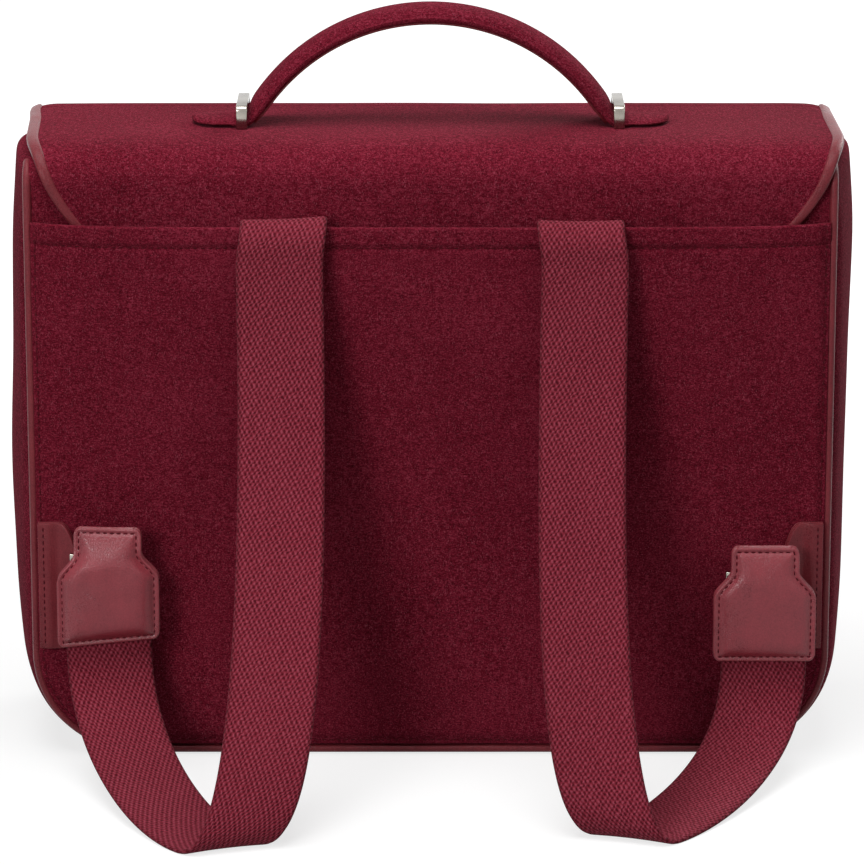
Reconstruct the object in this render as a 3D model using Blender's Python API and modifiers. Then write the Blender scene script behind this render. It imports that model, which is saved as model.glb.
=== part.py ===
"""Felt satchel with a leather-bound flap, an arched handle and two webbing shoulder straps.

Metres, +Z up. The origin is on the floor under the middle of the base. +X is to the right seen from
the back, the back with the straps faces -Y, and the front faces +Y.
"""

import math

import bmesh
import bpy
from mathutils import Matrix, Vector

# Body
PANEL_WIDTH = 0.366
BODY_DEPTH = 0.105
CORNER_RADIUS = 0.048
FELT = 0.003
GAP = 0.0003
GUSSET_BULGE = 0.0092
GUSSET_BELOW_FLAP = 0.003
PIPING_RADIUS = 0.0022
BOARD = 0.0015
BASE_BOARD_MARGIN = 0.006
BACK_BOARD_MARGIN = 0.010
BACK_BOARD_TOP_MARGIN = 0.020
LINING = 0.0008
LINING_BELOW_PANEL = 0.012

# Slip pocket on the back
POCKET_MOUTH = 0.2485
POCKET_BULGE = 0.009
POCKET_BULGE_START = 0.100
POCKET_BULGE_SQUARENESS = 8

# Flap
FLAP_TOP = 0.2836
FLAP_HALF_WIDTH = 0.182
FLAP_TAPER = 0.021
FLAP_TUCK = 0.008
FLAP_BACK_FOLD = 0.015
FLAP_FRONT_FOLD = 0.012
FLAP_FRONT_DROP = 0.185
FLAP_CORNER_RADIUS = 0.040
FLAP_BOARD_LENGTH = 0.250
FLAP_BOARD_MARGIN = 0.008
BINDING_WIDTH = 0.004
BINDING_LEATHER = 0.0008

# Magnetic snaps behind the flap
SNAP_SPACING = 0.200
SNAP_RADIUS = 0.009
SNAP_SOCKET = 0.002
SNAP_STUD = 0.0015
SNAP_ABOVE_FLAP_EDGE = 0.045

# Handle
HANDLE_WIDTH = 0.027
HANDLE_THICKNESS = 0.009
HANDLE_END_THICKNESS = 0.0046
HANDLE_RISE = 0.0494
HANDLE_RADIUS = 0.093
HANDLE_TIP = 0.108
HANDLE_TIP_WIDTH_SHARE = 0.2
GRIP_HALF_SPAN = 0.072
UNDERLAY_HALF_SPAN = 0.066
UNDERLAY_WIDTH = 0.023
UNDERLAY = 0.0012
LOOP_X = 0.085
LOOP_BAND = 0.005
LOOP_METAL = 0.0022
LOOP_CLEARANCE = 0.001
LOOP_SIDE_CLEARANCE = 0.0014

# Shoulder straps, left and right as seen from the back
WEBBING_WIDTH = 0.040
WEBBING = 0.0022
STRAP_X = {"left": 0.0668, "right": 0.0685}
STRAP_FOLD_RADIUS = 0.004
STRAP_RIM_CLEARANCE = 0.0008
STRAP_TUCK = 0.045
STRAP_IN_TAB = 0.020
STRAP_BELOW_TAB = 0.004
BEND_X = {"left": 0.092, "right": 0.091}
BEND_REACH = {"left": 0.126, "right": 0.1135}
BEND_TURN = 20.0
BEND_PULL = 0.040
ARM_PULL = 0.130
ARM_LEAN = 0.15
ARM_SPREAD = -0.02
TAB_PULL = 0.040

# Leather tab and snap hook at the lower end of each strap
TAB_X = {"left": 0.145, "right": 0.1505}
TAB_BOTTOM = {"left": 0.0595, "right": 0.0510}
TAB_TILT = {"left": 4.0, "right": 0.0}
TAB_WIDTH = 0.046
TAB_HEIGHT = 0.053
TAB_NECK_WIDTH = 0.0306
TAB_NECK = 0.013
TAB_SHOULDER = 0.009
TAB_ROUNDING = 0.0035
TAB_FRONT_LEAF = 0.002
TAB_BACK_LEAF = 0.0015
HOOK_RADIUS = 0.010
HOOK_BAR = 0.0034
HOOK_METAL = 0.003
HOOK_DROP = 0.0145
HOOK_SHANK = 0.006
HOOK_SHANK_WIDTH = 0.006
HOOK_PLATE = (0.022, 0.007)
GATE_FROM = 150.0
GATE_TO = 216.0
GATE_TIP_SLACK = 14.0
GATE_PIVOT_SLACK = 7.0
GATE_LUG = 0.0074
GATE_LUG_HALF_ANGLE = 8.0
HOOK_TO_RING = 0.004

# D-ring and its folded leather anchor
ANCHOR_Z = 0.082
ANCHOR_EDGE_INSET = 0.0025
ANCHOR_LENGTH = 0.0180
ANCHOR_SLANT = 0.0095
ANCHOR_HALF_OUTER = 0.0295
ANCHOR_HALF_INNER = 0.014
ANCHOR_LEATHER = 0.0014
RING_WIRE = 0.0015
RING_HALF_HEIGHT = 0.0165
RING_REACH = 0.018

ARC_STEPS = 8
SIDE_STEPS = 4
SHARP_ANGLE = 35.0
FOLD_STEPS = 4
FRONT_STEPS = 16
REAR_STEPS = 10
SIDES = {"left": -1, "right": 1}

BACK_Y = -BODY_DEPTH / 2
FRONT_Y = BODY_DEPTH / 2
FLAP_INNER_TOP = FLAP_TOP - FELT
PANEL_TOP = FLAP_INNER_TOP - FLAP_BACK_FOLD
PANEL_INSET = 2 * PIPING_RADIUS + GAP
PANEL_HALF = PANEL_WIDTH / 2 - PANEL_INSET
PANEL_BOTTOM = PANEL_INSET + GAP
POCKET_FACE = BACK_Y - GAP - FELT
FLAP_BACK_Y = BACK_Y - GAP
SNAP_STACK = GAP + SNAP_SOCKET + GAP + SNAP_STUD + GAP
FLAP_FRONT_Y = FRONT_Y + SNAP_STACK
FLAP_HINGE_Y = FLAP_BACK_Y + FLAP_BACK_FOLD
FLAP_LEAF_TOP = FLAP_INNER_TOP - FLAP_FRONT_FOLD
HANDLE_AXIS_Z = FLAP_TOP + GAP + HANDLE_END_THICKNESS / 2
HANDLE_CROWN = FLAP_TOP + HANDLE_RISE
RIM_Y = BACK_Y - GAP - POCKET_BULGE - FELT / 2
STRAP_TOP = POCKET_MOUTH + STRAP_RIM_CLEARANCE + WEBBING / 2
RING_Y = POCKET_FACE - GAP - ANCHOR_LEATHER - GAP - RING_WIRE
HOOK_Y = RING_Y - RING_WIRE - HOOK_TO_RING - HOOK_METAL / 2
TAB_BACK_Y = HOOK_Y - HOOK_METAL / 2 - GAP - TAB_BACK_LEAF / 2
WEB_Y = TAB_BACK_Y - TAB_BACK_LEAF / 2 - GAP - WEBBING / 2
TAB_FRONT_Y = WEB_Y - WEBBING / 2 - GAP - TAB_FRONT_LEAF / 2

UP = Vector((0, 0, 1))
BACKWARD = Vector((0, -1, 0))
AXES_XZ = (Vector((1, 0, 0)), Vector((0, 0, 1)))
AXES_YZ = (Vector((0, 1, 0)), Vector((0, 0, 1)))
AXES_XY = (Vector((1, 0, 0)), Vector((0, 1, 0)))


def clear_scene():
    for obj in list(bpy.data.objects):
        bpy.data.objects.remove(obj)


def collection(name):
    made = bpy.data.collections.new(name)
    bpy.context.scene.collection.children.link(made)
    return made


def finish_material(name, colour, roughness, metallic=0.0):
    made = bpy.data.materials.new(name)
    made.use_nodes = True
    shader = made.node_tree.nodes["Principled BSDF"]
    shader.inputs["Base Color"].default_value = (*colour, 1.0)
    shader.inputs["Roughness"].default_value = roughness
    shader.inputs["Metallic"].default_value = metallic
    return made


clear_scene()
PARTS = collection("satchel_bag")
FELT_CLOTH = finish_material("wool_felt", (0.105, 0.008, 0.017), 0.95)
LEATHER = finish_material("leather", (0.155, 0.030, 0.038), 0.45)
COTTON = finish_material("cotton_webbing", (0.170, 0.020, 0.034), 0.9)
NICKEL = finish_material("nickel", (0.66, 0.65, 0.62), 0.2, 1.0)
LINING_CLOTH = finish_material("lining", (0.075, 0.012, 0.018), 0.85)
STIFFENER = finish_material("board", (0.12, 0.11, 0.10), 0.8)


def pivot(name, place, parent=None):
    """An empty on a joint's axis, which carries the pieces that turn about it."""
    empty = bpy.data.objects.new(name, None)
    PARTS.objects.link(empty)
    empty.location = place
    if parent:
        empty.parent = parent
        empty.matrix_parent_inverse = parent.matrix_world.inverted()
    bpy.context.view_layer.update()
    return empty


def add_piece(name, bm, material, carrier=None):
    """Links a mesh that is drawn in place, carried by an empty if it moves."""
    mesh = bpy.data.meshes.new(name)
    bm.to_mesh(mesh)
    bm.free()
    mesh.shade_smooth()
    mesh.set_sharp_from_angle(angle=math.radians(SHARP_ANGLE))
    mesh.materials.append(material)
    obj = bpy.data.objects.new(name, mesh)
    PARTS.objects.link(obj)
    if carrier:
        obj.parent = carrier
        obj.matrix_parent_inverse = carrier.matrix_world.inverted()
    return obj


def sheet(columns, rows, place):
    """An open grid whose corners run from 0 to 1 both ways, laid out by place(u, v)."""
    bm = bmesh.new()
    bmesh.ops.create_grid(bm, x_segments=columns, y_segments=rows, size=1)
    for vert in bm.verts:
        vert.co = place((vert.co.x + 1) / 2, (vert.co.y + 1) / 2)
    return bm


def thicken(obj, thickness, side):
    """Gives a sheet its thickness, along its normals where side is 1 and against them where it is -1."""
    solid = obj.modifiers.new("Thickness", "SOLIDIFY")
    solid.thickness = thickness
    solid.offset = side
    solid.use_even_offset = True


def flat(outlines, thickness, axes, centre):
    """A plate cut to the outlines, each a list of pairs along the two axes, about the centre."""
    curve = bpy.data.curves.new("outline", "CURVE")
    curve.dimensions = "2D"
    curve.fill_mode = "BOTH"
    curve.extrude = thickness / 2
    for outline in outlines:
        spline = curve.splines.new("POLY")
        spline.points.add(len(outline) - 1)
        for point, (a, b) in zip(spline.points, outline):
            point.co = (a, b, 0, 1)
        spline.use_cyclic_u = True
    across, up = axes
    turn = Matrix((across, up, across.cross(up))).transposed().to_4x4()
    return solid_of(curve, Matrix.Translation(centre) @ turn)


def tube(points, radius, sides, cyclic=False):
    """A round bar along the points."""
    curve = bpy.data.curves.new("bar", "CURVE")
    curve.dimensions = "3D"
    curve.bevel_depth = radius
    curve.bevel_resolution = sides // 2 - 2
    curve.use_fill_caps = not cyclic
    spline = curve.splines.new("POLY")
    spline.points.add(len(points) - 1)
    for point, place in zip(spline.points, points):
        point.co = (*place, 1)
    spline.use_cyclic_u = cyclic
    return solid_of(curve, Matrix.Identity(4))


def solid_of(curve, place):
    """The closed mesh of a filled or bevelled curve."""
    guide = bpy.data.objects.new("guide", curve)
    PARTS.objects.link(guide)
    bpy.context.view_layer.update()
    evaluated = guide.evaluated_get(bpy.context.evaluated_depsgraph_get())
    mesh = bpy.data.meshes.new_from_object(evaluated)
    bpy.data.objects.remove(guide)
    bm = bmesh.new()
    bm.from_mesh(mesh)
    bpy.data.meshes.remove(mesh)
    bmesh.ops.remove_doubles(bm, verts=bm.verts, dist=0.00001)
    bmesh.ops.transform(bm, matrix=place, verts=bm.verts)
    bmesh.ops.recalc_face_normals(bm, faces=bm.faces)
    return bm


def loft(rings):
    """A closed body drawn out through rings of the same count of points, with both ends filled."""
    bm = bmesh.new()
    slot = bm.verts.layers.int.new("slot")
    count = len(rings[0])
    start = [bm.verts.new(point) for point in rings[0]]
    for index, vert in enumerate(start):
        vert[slot] = index
    edges = [bm.edges.new((start[i], start[(i + 1) % count])) for i in range(count)]
    first = list(edges)
    for ring in rings[1:]:
        made = bmesh.ops.extrude_edge_only(bm, edges=edges)["geom"]
        fresh = {item for item in made if isinstance(item, bmesh.types.BMVert)}
        for vert in fresh:
            vert.co = ring[vert[slot]]
        lines = [item for item in made if isinstance(item, bmesh.types.BMEdge)]
        edges = [edge for edge in lines if set(edge.verts) <= fresh]
    bmesh.ops.contextual_create(bm, geom=first)
    bmesh.ops.contextual_create(bm, geom=edges)
    bmesh.ops.recalc_face_normals(bm, faces=bm.faces)
    return bm


def arc(centre, radius, start, end, steps=ARC_STEPS):
    """Points on an arc, from one angle in degrees to the other."""
    angles = [math.radians(start + (end - start) * i / steps) for i in range(steps + 1)]
    return [(centre[0] + radius * math.cos(a), centre[1] + radius * math.sin(a)) for a in angles]


def u_path(half, bottom, top, radius):
    """The sides and base of a panel with round lower corners, from the upper left to the upper right."""
    left = arc((-half + radius, bottom + radius), radius, 180, 270)
    right = arc((half - radius, bottom + radius), radius, 270, 360)
    return [(-half, top), *left, *right, (half, top)]


def rounded(corners, radius, steps=4):
    """A closed outline with each corner turned into an arc of the radius."""
    points = []
    count = len(corners)
    for i, corner in enumerate(corners):
        here = Vector(corner)
        back = (Vector(corners[i - 1]) - here).normalized()
        ahead = (Vector(corners[(i + 1) % count]) - here).normalized()
        half = back.angle(ahead) / 2
        reach = radius / math.tan(half)
        middle = here + (back + ahead).normalized() * (radius / math.sin(half))
        first = here + back * reach - middle
        last = here + ahead * reach - middle
        sweep = first.angle_signed(last)
        for step in range(steps + 1):
            turn = Matrix.Rotation(-sweep * step / steps, 2)
            points.append(tuple(middle + turn @ first))
    return points


def disc(radius, steps=24):
    return arc((0, 0), radius, 0, 360 - 360 / steps, steps - 1)


def bezier(start, pull_start, pull_end, end, steps):
    """Points on a cubic curve, both ends included."""
    points = []
    for i in range(steps + 1):
        t = i / steps
        s = 1 - t
        points.append(s**3 * start + 3 * s * s * t * pull_start + 3 * s * t * t * pull_end + t**3 * end)
    return points


def ease(value):
    clamped = max(0.0, min(1.0, value))
    return clamped * clamped * (3 - 2 * clamped)


def panel_outline(margin=0.0, top=PANEL_TOP):
    radius = CORNER_RADIUS - PANEL_INSET - margin
    return u_path(PANEL_HALF - margin, PANEL_BOTTOM + margin, top, radius)


def panels():
    """Front and back felt panels, the piping round them and the gusset between."""
    edge = FELT / 2
    panel = panel_outline()
    add_piece("back_panel", flat([panel], FELT, AXES_XZ, (0, BACK_Y + edge, 0)), FELT_CLOTH)
    add_piece("front_panel", flat([panel], FELT, AXES_XZ, (0, FRONT_Y - edge, 0)), FELT_CLOTH)
    half = PANEL_WIDTH / 2 - PIPING_RADIUS
    route = u_path(half, PIPING_RADIUS + GAP, PANEL_TOP, CORNER_RADIUS - PIPING_RADIUS)
    for name, y in (("back_piping", BACK_Y), ("front_piping", FRONT_Y)):
        add_piece(name, tube([(x, y, z) for x, z in route], PIPING_RADIUS, 8), LEATHER)
    gusset()


def gusset():
    """One felt band for both sides and the base, its sides bowed out between the panels."""
    half_depth = BODY_DEPTH / 2 - PIPING_RADIUS - GAP
    top = FLAP_INNER_TOP - GUSSET_BELOW_FLAP
    half = PANEL_WIDTH / 2 - GAP
    turn = u_path(half, 0, top, CORNER_RADIUS - GAP)[1:-1]
    rise = top - turn[0][1]
    heights = [turn[0][1] + rise * k / SIDE_STEPS for k in range(1, SIDE_STEPS + 1)]
    path = [*[(-half, z) for z in reversed(heights)], *turn, *[(half, z) for z in heights]]

    def outward(index):
        x0, z0 = path[max(index - 1, 0)]
        x1, z1 = path[min(index + 1, len(path) - 1)]
        return Vector((z1 - z0, 0, x0 - x1)).normalized()

    def place(u, v):
        index = round(u * (len(path) - 1))
        y = (2 * v - 1) * half_depth
        side = outward(index)
        bow = GUSSET_BULGE * abs(side.x) * (1 - (2 * v - 1) ** 2)
        return Vector((path[index][0], y, path[index][1])) + Vector((side.x, 0, 0)).normalized() * bow

    band = add_piece("gusset", sheet(len(path) - 1, 8, place), FELT_CLOTH)
    thicken(band, FELT, 1)


def pocket_swell(x, z):
    """How far the slip pocket stands off the back panel."""
    across = 1 - abs(x / PANEL_HALF) ** POCKET_BULGE_SQUARENESS
    return POCKET_BULGE * across * ease((z - POCKET_BULGE_START) / (POCKET_MOUTH - POCKET_BULGE_START))


def pocket():
    """The slip pocket's panel, which stands open at its mouth."""
    radius = CORNER_RADIUS - PANEL_INSET
    corner = [z for _, z in arc((0, PANEL_BOTTOM + radius), radius, 270, 360)]
    side = [corner[-1] + (POCKET_MOUTH - corner[-1]) * k / 8 for k in range(1, 9)]
    heights = corner + side

    def place(u, v):
        z = heights[round(v * (len(heights) - 1))]
        below = max(0.0, PANEL_BOTTOM + radius - z)
        half = PANEL_HALF - radius + math.sqrt(max(0.0, radius**2 - below**2))
        x = half * math.sin((u - 0.5) * math.pi)
        return Vector((x, BACK_Y - GAP - pocket_swell(x, z), z))

    panel = add_piece("pocket_panel", sheet(18, len(heights) - 1, place), FELT_CLOTH)
    thicken(panel, FELT, 1)


def inner_pieces():
    """Stiffening boards and the lining bag between the panels."""
    half = PANEL_WIDTH / 2 - CORNER_RADIUS
    depth = BODY_DEPTH / 2 - PIPING_RADIUS - BASE_BOARD_MARGIN
    base = [(-half, -depth), (half, -depth), (half, depth), (-half, depth)]
    level = FELT + GAP + BOARD / 2
    add_piece("base_board", flat([base], BOARD, AXES_XY, (0, 0, level)), STIFFENER)
    behind = BACK_Y + FELT + GAP + BOARD / 2
    back = panel_outline(BACK_BOARD_MARGIN, PANEL_TOP - BACK_BOARD_TOP_MARGIN)
    add_piece("back_board", flat([back], BOARD, AXES_XZ, (0, behind, 0)), STIFFENER)
    lining(behind + BOARD / 2 + GAP, FRONT_Y - FELT - GAP, level + BOARD / 2 + GAP)


def lining(y_back, y_front, bottom):
    """An open-topped bag of lining cloth."""
    top = PANEL_TOP - LINING_BELOW_PANEL
    outline = u_path(PANEL_HALF, bottom, top, CORNER_RADIUS - PANEL_INSET)
    bm = flat([outline], y_front - y_back, AXES_XZ, (0, (y_front + y_back) / 2, 0))
    lid = [face for face in bm.faces if face.normal.z > 0.9 and face.calc_center_median().z > top - GAP]
    bmesh.ops.delete(bm, geom=lid, context="FACES")
    bag = add_piece("lining", bm, LINING_CLOTH)
    thicken(bag, LINING, -1)


def flap_half(distance):
    """Half the flap's width at a distance up its back from its tucked end, where it tapers."""
    taper_length = PANEL_TOP - POCKET_MOUTH + FLAP_TUCK + FLAP_BACK_FOLD * math.pi / 2
    return FLAP_HALF_WIDTH - FLAP_TAPER * (1 - min(1.0, distance / taper_length))


def flap_strip(name, section, left, right, thickness, material, carrier=None):
    """A stretch of the flap or its binding along a section, between two edges given by the distance."""
    distances = [0.0]
    for (y0, z0), (y1, z1) in zip(section, section[1:]):
        distances.append(distances[-1] + math.hypot(y1 - y0, z1 - z0))

    def place(u, v):
        index = round(u * (len(section) - 1))
        low, high = left(distances[index]), right(distances[index])
        return Vector((low + (high - low) * v, *section[index]))

    strip = add_piece(name, sheet(len(section) - 1, 6, place), material, carrier)
    thicken(strip, thickness, -1)


def bound_stretch(prefix, section, half, carrier=None):
    """Felt between two bound edges, each piece in its own object."""
    inset = BINDING_WIDTH + GAP
    flap_strip(prefix, section, lambda d: inset - half(d), lambda d: half(d) - inset,
               FELT, FELT_CLOTH, carrier)
    leather = FELT + BINDING_LEATHER
    flap_strip(prefix + "_binding_left", section, lambda d: -half(d), lambda d: BINDING_WIDTH - half(d),
               leather, LEATHER, carrier)
    flap_strip(prefix + "_binding_right", section, lambda d: half(d) - BINDING_WIDTH, half,
               leather, LEATHER, carrier)


def flap(top_pivot, leaf_pivot):
    """The flap in three stretches: sewn to the back, over the top, and the leaf down the front."""
    fold = FLAP_BACK_FOLD
    back_arc = arc((FLAP_HINGE_Y, PANEL_TOP), fold, 180, 90)
    bound_stretch("flap_back", [(FLAP_BACK_Y, POCKET_MOUTH - FLAP_TUCK), *back_arc], flap_half)
    ahead = FLAP_FRONT_FOLD
    front_arc = arc((FLAP_FRONT_Y - ahead, FLAP_LEAF_TOP), ahead, 90, 0)
    bound_stretch("flap_top", [(FLAP_HINGE_Y + GAP, FLAP_INNER_TOP), *front_arc],
                  lambda distance: FLAP_HALF_WIDTH, top_pivot)
    board_depth = FLAP_FRONT_Y - ahead - FLAP_HINGE_Y - 2 * FLAP_BOARD_MARGIN
    middle = FLAP_HINGE_Y + FLAP_BOARD_MARGIN + board_depth / 2
    a, b = FLAP_BOARD_LENGTH / 2, board_depth / 2
    board = [(-a, -b), (a, -b), (a, b), (-a, b)]
    level = FLAP_INNER_TOP - GAP - BOARD / 2
    add_piece("flap_board", flat([board], BOARD, AXES_XY, (0, middle, level)), STIFFENER, top_pivot)
    leaf(leaf_pivot)


def leaf(carrier):
    """The flat front of the flap with its U of binding."""
    top = FLAP_LEAF_TOP - GAP
    bottom = top - FLAP_FRONT_DROP
    outer = u_path(FLAP_HALF_WIDTH, bottom, top, FLAP_CORNER_RADIUS)
    inset = BINDING_WIDTH
    inner = u_path(FLAP_HALF_WIDTH - inset, bottom + inset, top, FLAP_CORNER_RADIUS - inset)
    inset += GAP
    felt = u_path(FLAP_HALF_WIDTH - inset, bottom + inset, top, FLAP_CORNER_RADIUS - inset)
    centre = (0, FLAP_FRONT_Y + FELT / 2, 0)
    add_piece("flap_front", flat([felt], FELT, AXES_XZ, centre), FELT_CLOTH, carrier)
    leather = FELT + BINDING_LEATHER
    place = (0, FLAP_FRONT_Y + leather / 2, 0)
    add_piece("flap_front_binding", flat([outer + inner[::-1]], leather, AXES_XZ, place), LEATHER, carrier)
    height = bottom + SNAP_ABOVE_FLAP_EDGE
    for side, sign in SIDES.items():
        x = sign * SNAP_SPACING / 2
        socket = (x, FRONT_Y + GAP + SNAP_SOCKET / 2, height)
        stud = (x, FLAP_FRONT_Y - GAP - SNAP_STUD / 2, height)
        round_plate = [disc(SNAP_RADIUS)]
        add_piece("snap_socket_" + side, flat(round_plate, SNAP_SOCKET, AXES_XZ, socket), NICKEL)
        add_piece("snap_stud_" + side, flat(round_plate, SNAP_STUD, AXES_XZ, stud), NICKEL, carrier)


def handle_line(x):
    """Height of the handle's middle line at x: an arc between the loops, flat beyond its foot."""
    drop = HANDLE_RADIUS - math.sqrt(max(0.0, HANDLE_RADIUS**2 - x * x))
    above = HANDLE_CROWN - HANDLE_AXIS_Z - drop
    soft = HANDLE_END_THICKNESS / 2
    return HANDLE_AXIS_Z + (above + math.sqrt(above * above + soft * soft)) / 2


def oval(x, thickness, width):
    """A ring of the handle's section in the plane at x."""
    slope = (handle_line(x + GAP) - handle_line(x - GAP)) / (2 * GAP)
    tall = thickness * math.sqrt(1 + slope * slope) / 2
    ring = disc(1.0, 14)
    return [Vector((x, width / 2 * a, handle_line(x) + tall * b)) for a, b in ring]


def handle(carrier_top, carrier_grip):
    """The arched grip with its leather underlay, its two ends and the metal loops that hold them."""
    steps = 18
    span = GRIP_HALF_SPAN - GAP
    xs = [-span + 2 * span * i / steps for i in range(steps + 1)]
    rings = [oval(x, HANDLE_THICKNESS, HANDLE_WIDTH) for x in xs]
    add_piece("handle_grip", loft(rings), FELT_CLOTH, carrier_grip)

    def under(u, v):
        x = (2 * u - 1) * UNDERLAY_HALF_SPAN
        slope = (handle_line(x + GAP) - handle_line(x - GAP)) / (2 * GAP)
        below = (HANDLE_THICKNESS / 2 + GAP) * math.sqrt(1 + slope * slope)
        return Vector((x, (v - 0.5) * UNDERLAY_WIDTH, handle_line(x) - below))

    strip = add_piece("handle_underlay", sheet(steps, 1, under), LEATHER, carrier_grip)
    thicken(strip, UNDERLAY, -1)
    for side, sign in SIDES.items():
        handle_end(side, sign, carrier_top)
        handle_loop(side, sign, carrier_top)


def handle_end(side, sign, carrier):
    """The flattened end of the handle, lying on the flap under its loop with a round tip."""
    rings = []
    steps = 12
    for i in range(steps + 1):
        x = GRIP_HALF_SPAN + GAP + (HANDLE_TIP - GRIP_HALF_SPAN - GAP) * i / steps
        flatten = ease((x - GRIP_HALF_SPAN) / (LOOP_X - LOOP_BAND - GRIP_HALF_SPAN))
        thickness = HANDLE_THICKNESS + (HANDLE_END_THICKNESS - HANDLE_THICKNESS) * flatten
        to_tip = HANDLE_TIP - x
        round_off = HANDLE_WIDTH / 2
        short = max(0.0, 1 - to_tip / round_off)
        width = HANDLE_WIDTH * max(HANDLE_TIP_WIDTH_SHARE, math.sqrt(max(0.0, 1 - short**2)))
        ring = oval(x, thickness, width)
        rings.append([Vector((sign * p.x, p.y, max(p.z, FLAP_TOP + GAP))) for p in ring])
    add_piece("handle_end_" + side, loft(rings), FELT_CLOTH, carrier)


def handle_loop(side, sign, carrier):
    """A flat nickel band over the handle's end, with its feet on the flap."""
    inner_half = HANDLE_WIDTH / 2 + LOOP_SIDE_CLEARANCE
    foot = FLAP_TOP + GAP
    inner_top = HANDLE_AXIS_Z + HANDLE_END_THICKNESS / 2 + LOOP_CLEARANCE
    outer_half = inner_half + LOOP_METAL
    outer_top = inner_top + LOOP_METAL
    band = [(-outer_half, foot), (-outer_half, outer_top), (outer_half, outer_top), (outer_half, foot),
            (inner_half, foot), (inner_half, inner_top), (-inner_half, inner_top), (-inner_half, foot)]
    add_piece("handle_loop_" + side, flat([band], LOOP_BAND, AXES_YZ, (sign * LOOP_X, 0, 0)), NICKEL, carrier)


def ribbon(points, yaws, start, end):
    """A webbing strap along the points, its width turned in plan by the yaws, in degrees.

    Start and end are the directions in which it leaves its first point and reaches its last.
    """
    rings = []
    for i, point in enumerate(points):
        inner = 0 < i < len(points) - 1
        ahead = points[i + 1] - points[i - 1] if inner else (end if i else start)
        turn = math.radians(yaws[i])
        across = Vector((math.cos(turn), math.sin(turn), 0))
        normal = ahead.cross(across).normalized()
        a, b = across * WEBBING_WIDTH / 2, normal * WEBBING / 2
        rings.append([point - a - b, point + a - b, point + a + b, point - a + b])
    return loft(rings)


def strap_route(side, sign):
    """The strap from the top of its fold down to the floor and up into its tab, with its turn in plan."""
    radius = STRAP_FOLD_RADIUS
    top = STRAP_TOP - radius
    fold = [Vector((sign * STRAP_X[side], y, z)) for y, z in arc((RIM_Y, top), radius, 90, 180, FOLD_STEPS)]
    lean = Vector((sign * ARM_SPREAD, -ARM_LEAN, -1)).normalized()
    bend = Vector((sign * BEND_X[side], BACK_Y - BEND_REACH[side], WEBBING / 2 + GAP))
    plan = Vector((sign, 1, 0)).normalized()
    base = Vector((sign * TAB_X[side], WEB_Y, TAB_BOTTOM[side] - STRAP_BELOW_TAB))
    front = bezier(fold[-1], fold[-1] + lean * ARM_PULL, bend - plan * BEND_PULL, bend, FRONT_STEPS)
    rear = bezier(bend, bend + plan * BEND_PULL, base - UP * TAB_PULL, base, REAR_STEPS)
    inside = base + UP * (STRAP_BELOW_TAB + STRAP_IN_TAB)
    points = fold + front[1:] + rear[1:] + [inside]
    yaws = [0] * len(fold)
    yaws += [BEND_TURN * ease(2 * i / FRONT_STEPS - 1) for i in range(1, FRONT_STEPS + 1)]
    yaws += [BEND_TURN * (1 - ease(i / REAR_STEPS)) for i in range(1, REAR_STEPS + 1)] + [0]
    return points, [-sign * yaw for yaw in yaws]


def strap(side, sign, carrier):
    """One shoulder strap: its sewn root in the pocket and the free part with its tab and hook."""
    radius = STRAP_FOLD_RADIUS
    top = STRAP_TOP - radius
    inner_y = RIM_Y + radius
    sewn = Vector((sign * STRAP_X[side], BACK_Y - GAP - WEBBING / 2, POCKET_MOUTH - STRAP_TUCK))
    stands = Vector((sign * STRAP_X[side], inner_y, POCKET_MOUTH - FLAP_TUCK - STRAP_FOLD_RADIUS))
    lift = Vector((0, 0, STRAP_FOLD_RADIUS * 2))
    climb = bezier(sewn, sewn + lift, stands - lift, stands, 6)
    over = [Vector((sign * STRAP_X[side], y, z)) for y, z in arc((RIM_Y, top), radius, 0, 90, FOLD_STEPS)]
    over[-1].y += GAP
    root = climb + over
    add_piece("strap_root_" + side, ribbon(root, [0] * len(root), UP, BACKWARD), COTTON)
    points, yaws = strap_route(side, sign)
    add_piece("strap_" + side, ribbon(points, yaws, BACKWARD, UP), COTTON, carrier)
    tab(side, sign, carrier)


def tab_outline():
    """A bottle-shaped leather leaf, about the middle of its lower edge."""
    half, neck = TAB_WIDTH / 2, TAB_NECK_WIDTH / 2
    shoulder = TAB_HEIGHT - TAB_NECK
    corners = [(-half, 0), (half, 0), (half, shoulder - TAB_SHOULDER), (neck, shoulder), (neck, TAB_HEIGHT),
               (-neck, TAB_HEIGHT), (-neck, shoulder), (-half, shoulder - TAB_SHOULDER)]
    return rounded(corners, TAB_ROUNDING)


def tab(side, sign, carrier):
    """Two leather leaves sewn over the strap's end, and the snap hook behind them."""
    tilt = Matrix.Rotation(math.radians(TAB_TILT[side]), 2)
    outline = [tuple(tilt @ Vector(point)) for point in tab_outline()]
    x, z = sign * TAB_X[side], TAB_BOTTOM[side]
    for name, leather, y in (("front", TAB_FRONT_LEAF, TAB_FRONT_Y), ("back", TAB_BACK_LEAF, TAB_BACK_Y)):
        leaf_mesh = flat([outline], leather, AXES_XZ, (x, y, z))
        add_piece(f"tab_{name}_{side}", leaf_mesh, LEATHER, carrier)
    hook(side, (x, HOOK_Y, z + TAB_HEIGHT - HOOK_DROP), carrier)


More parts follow.
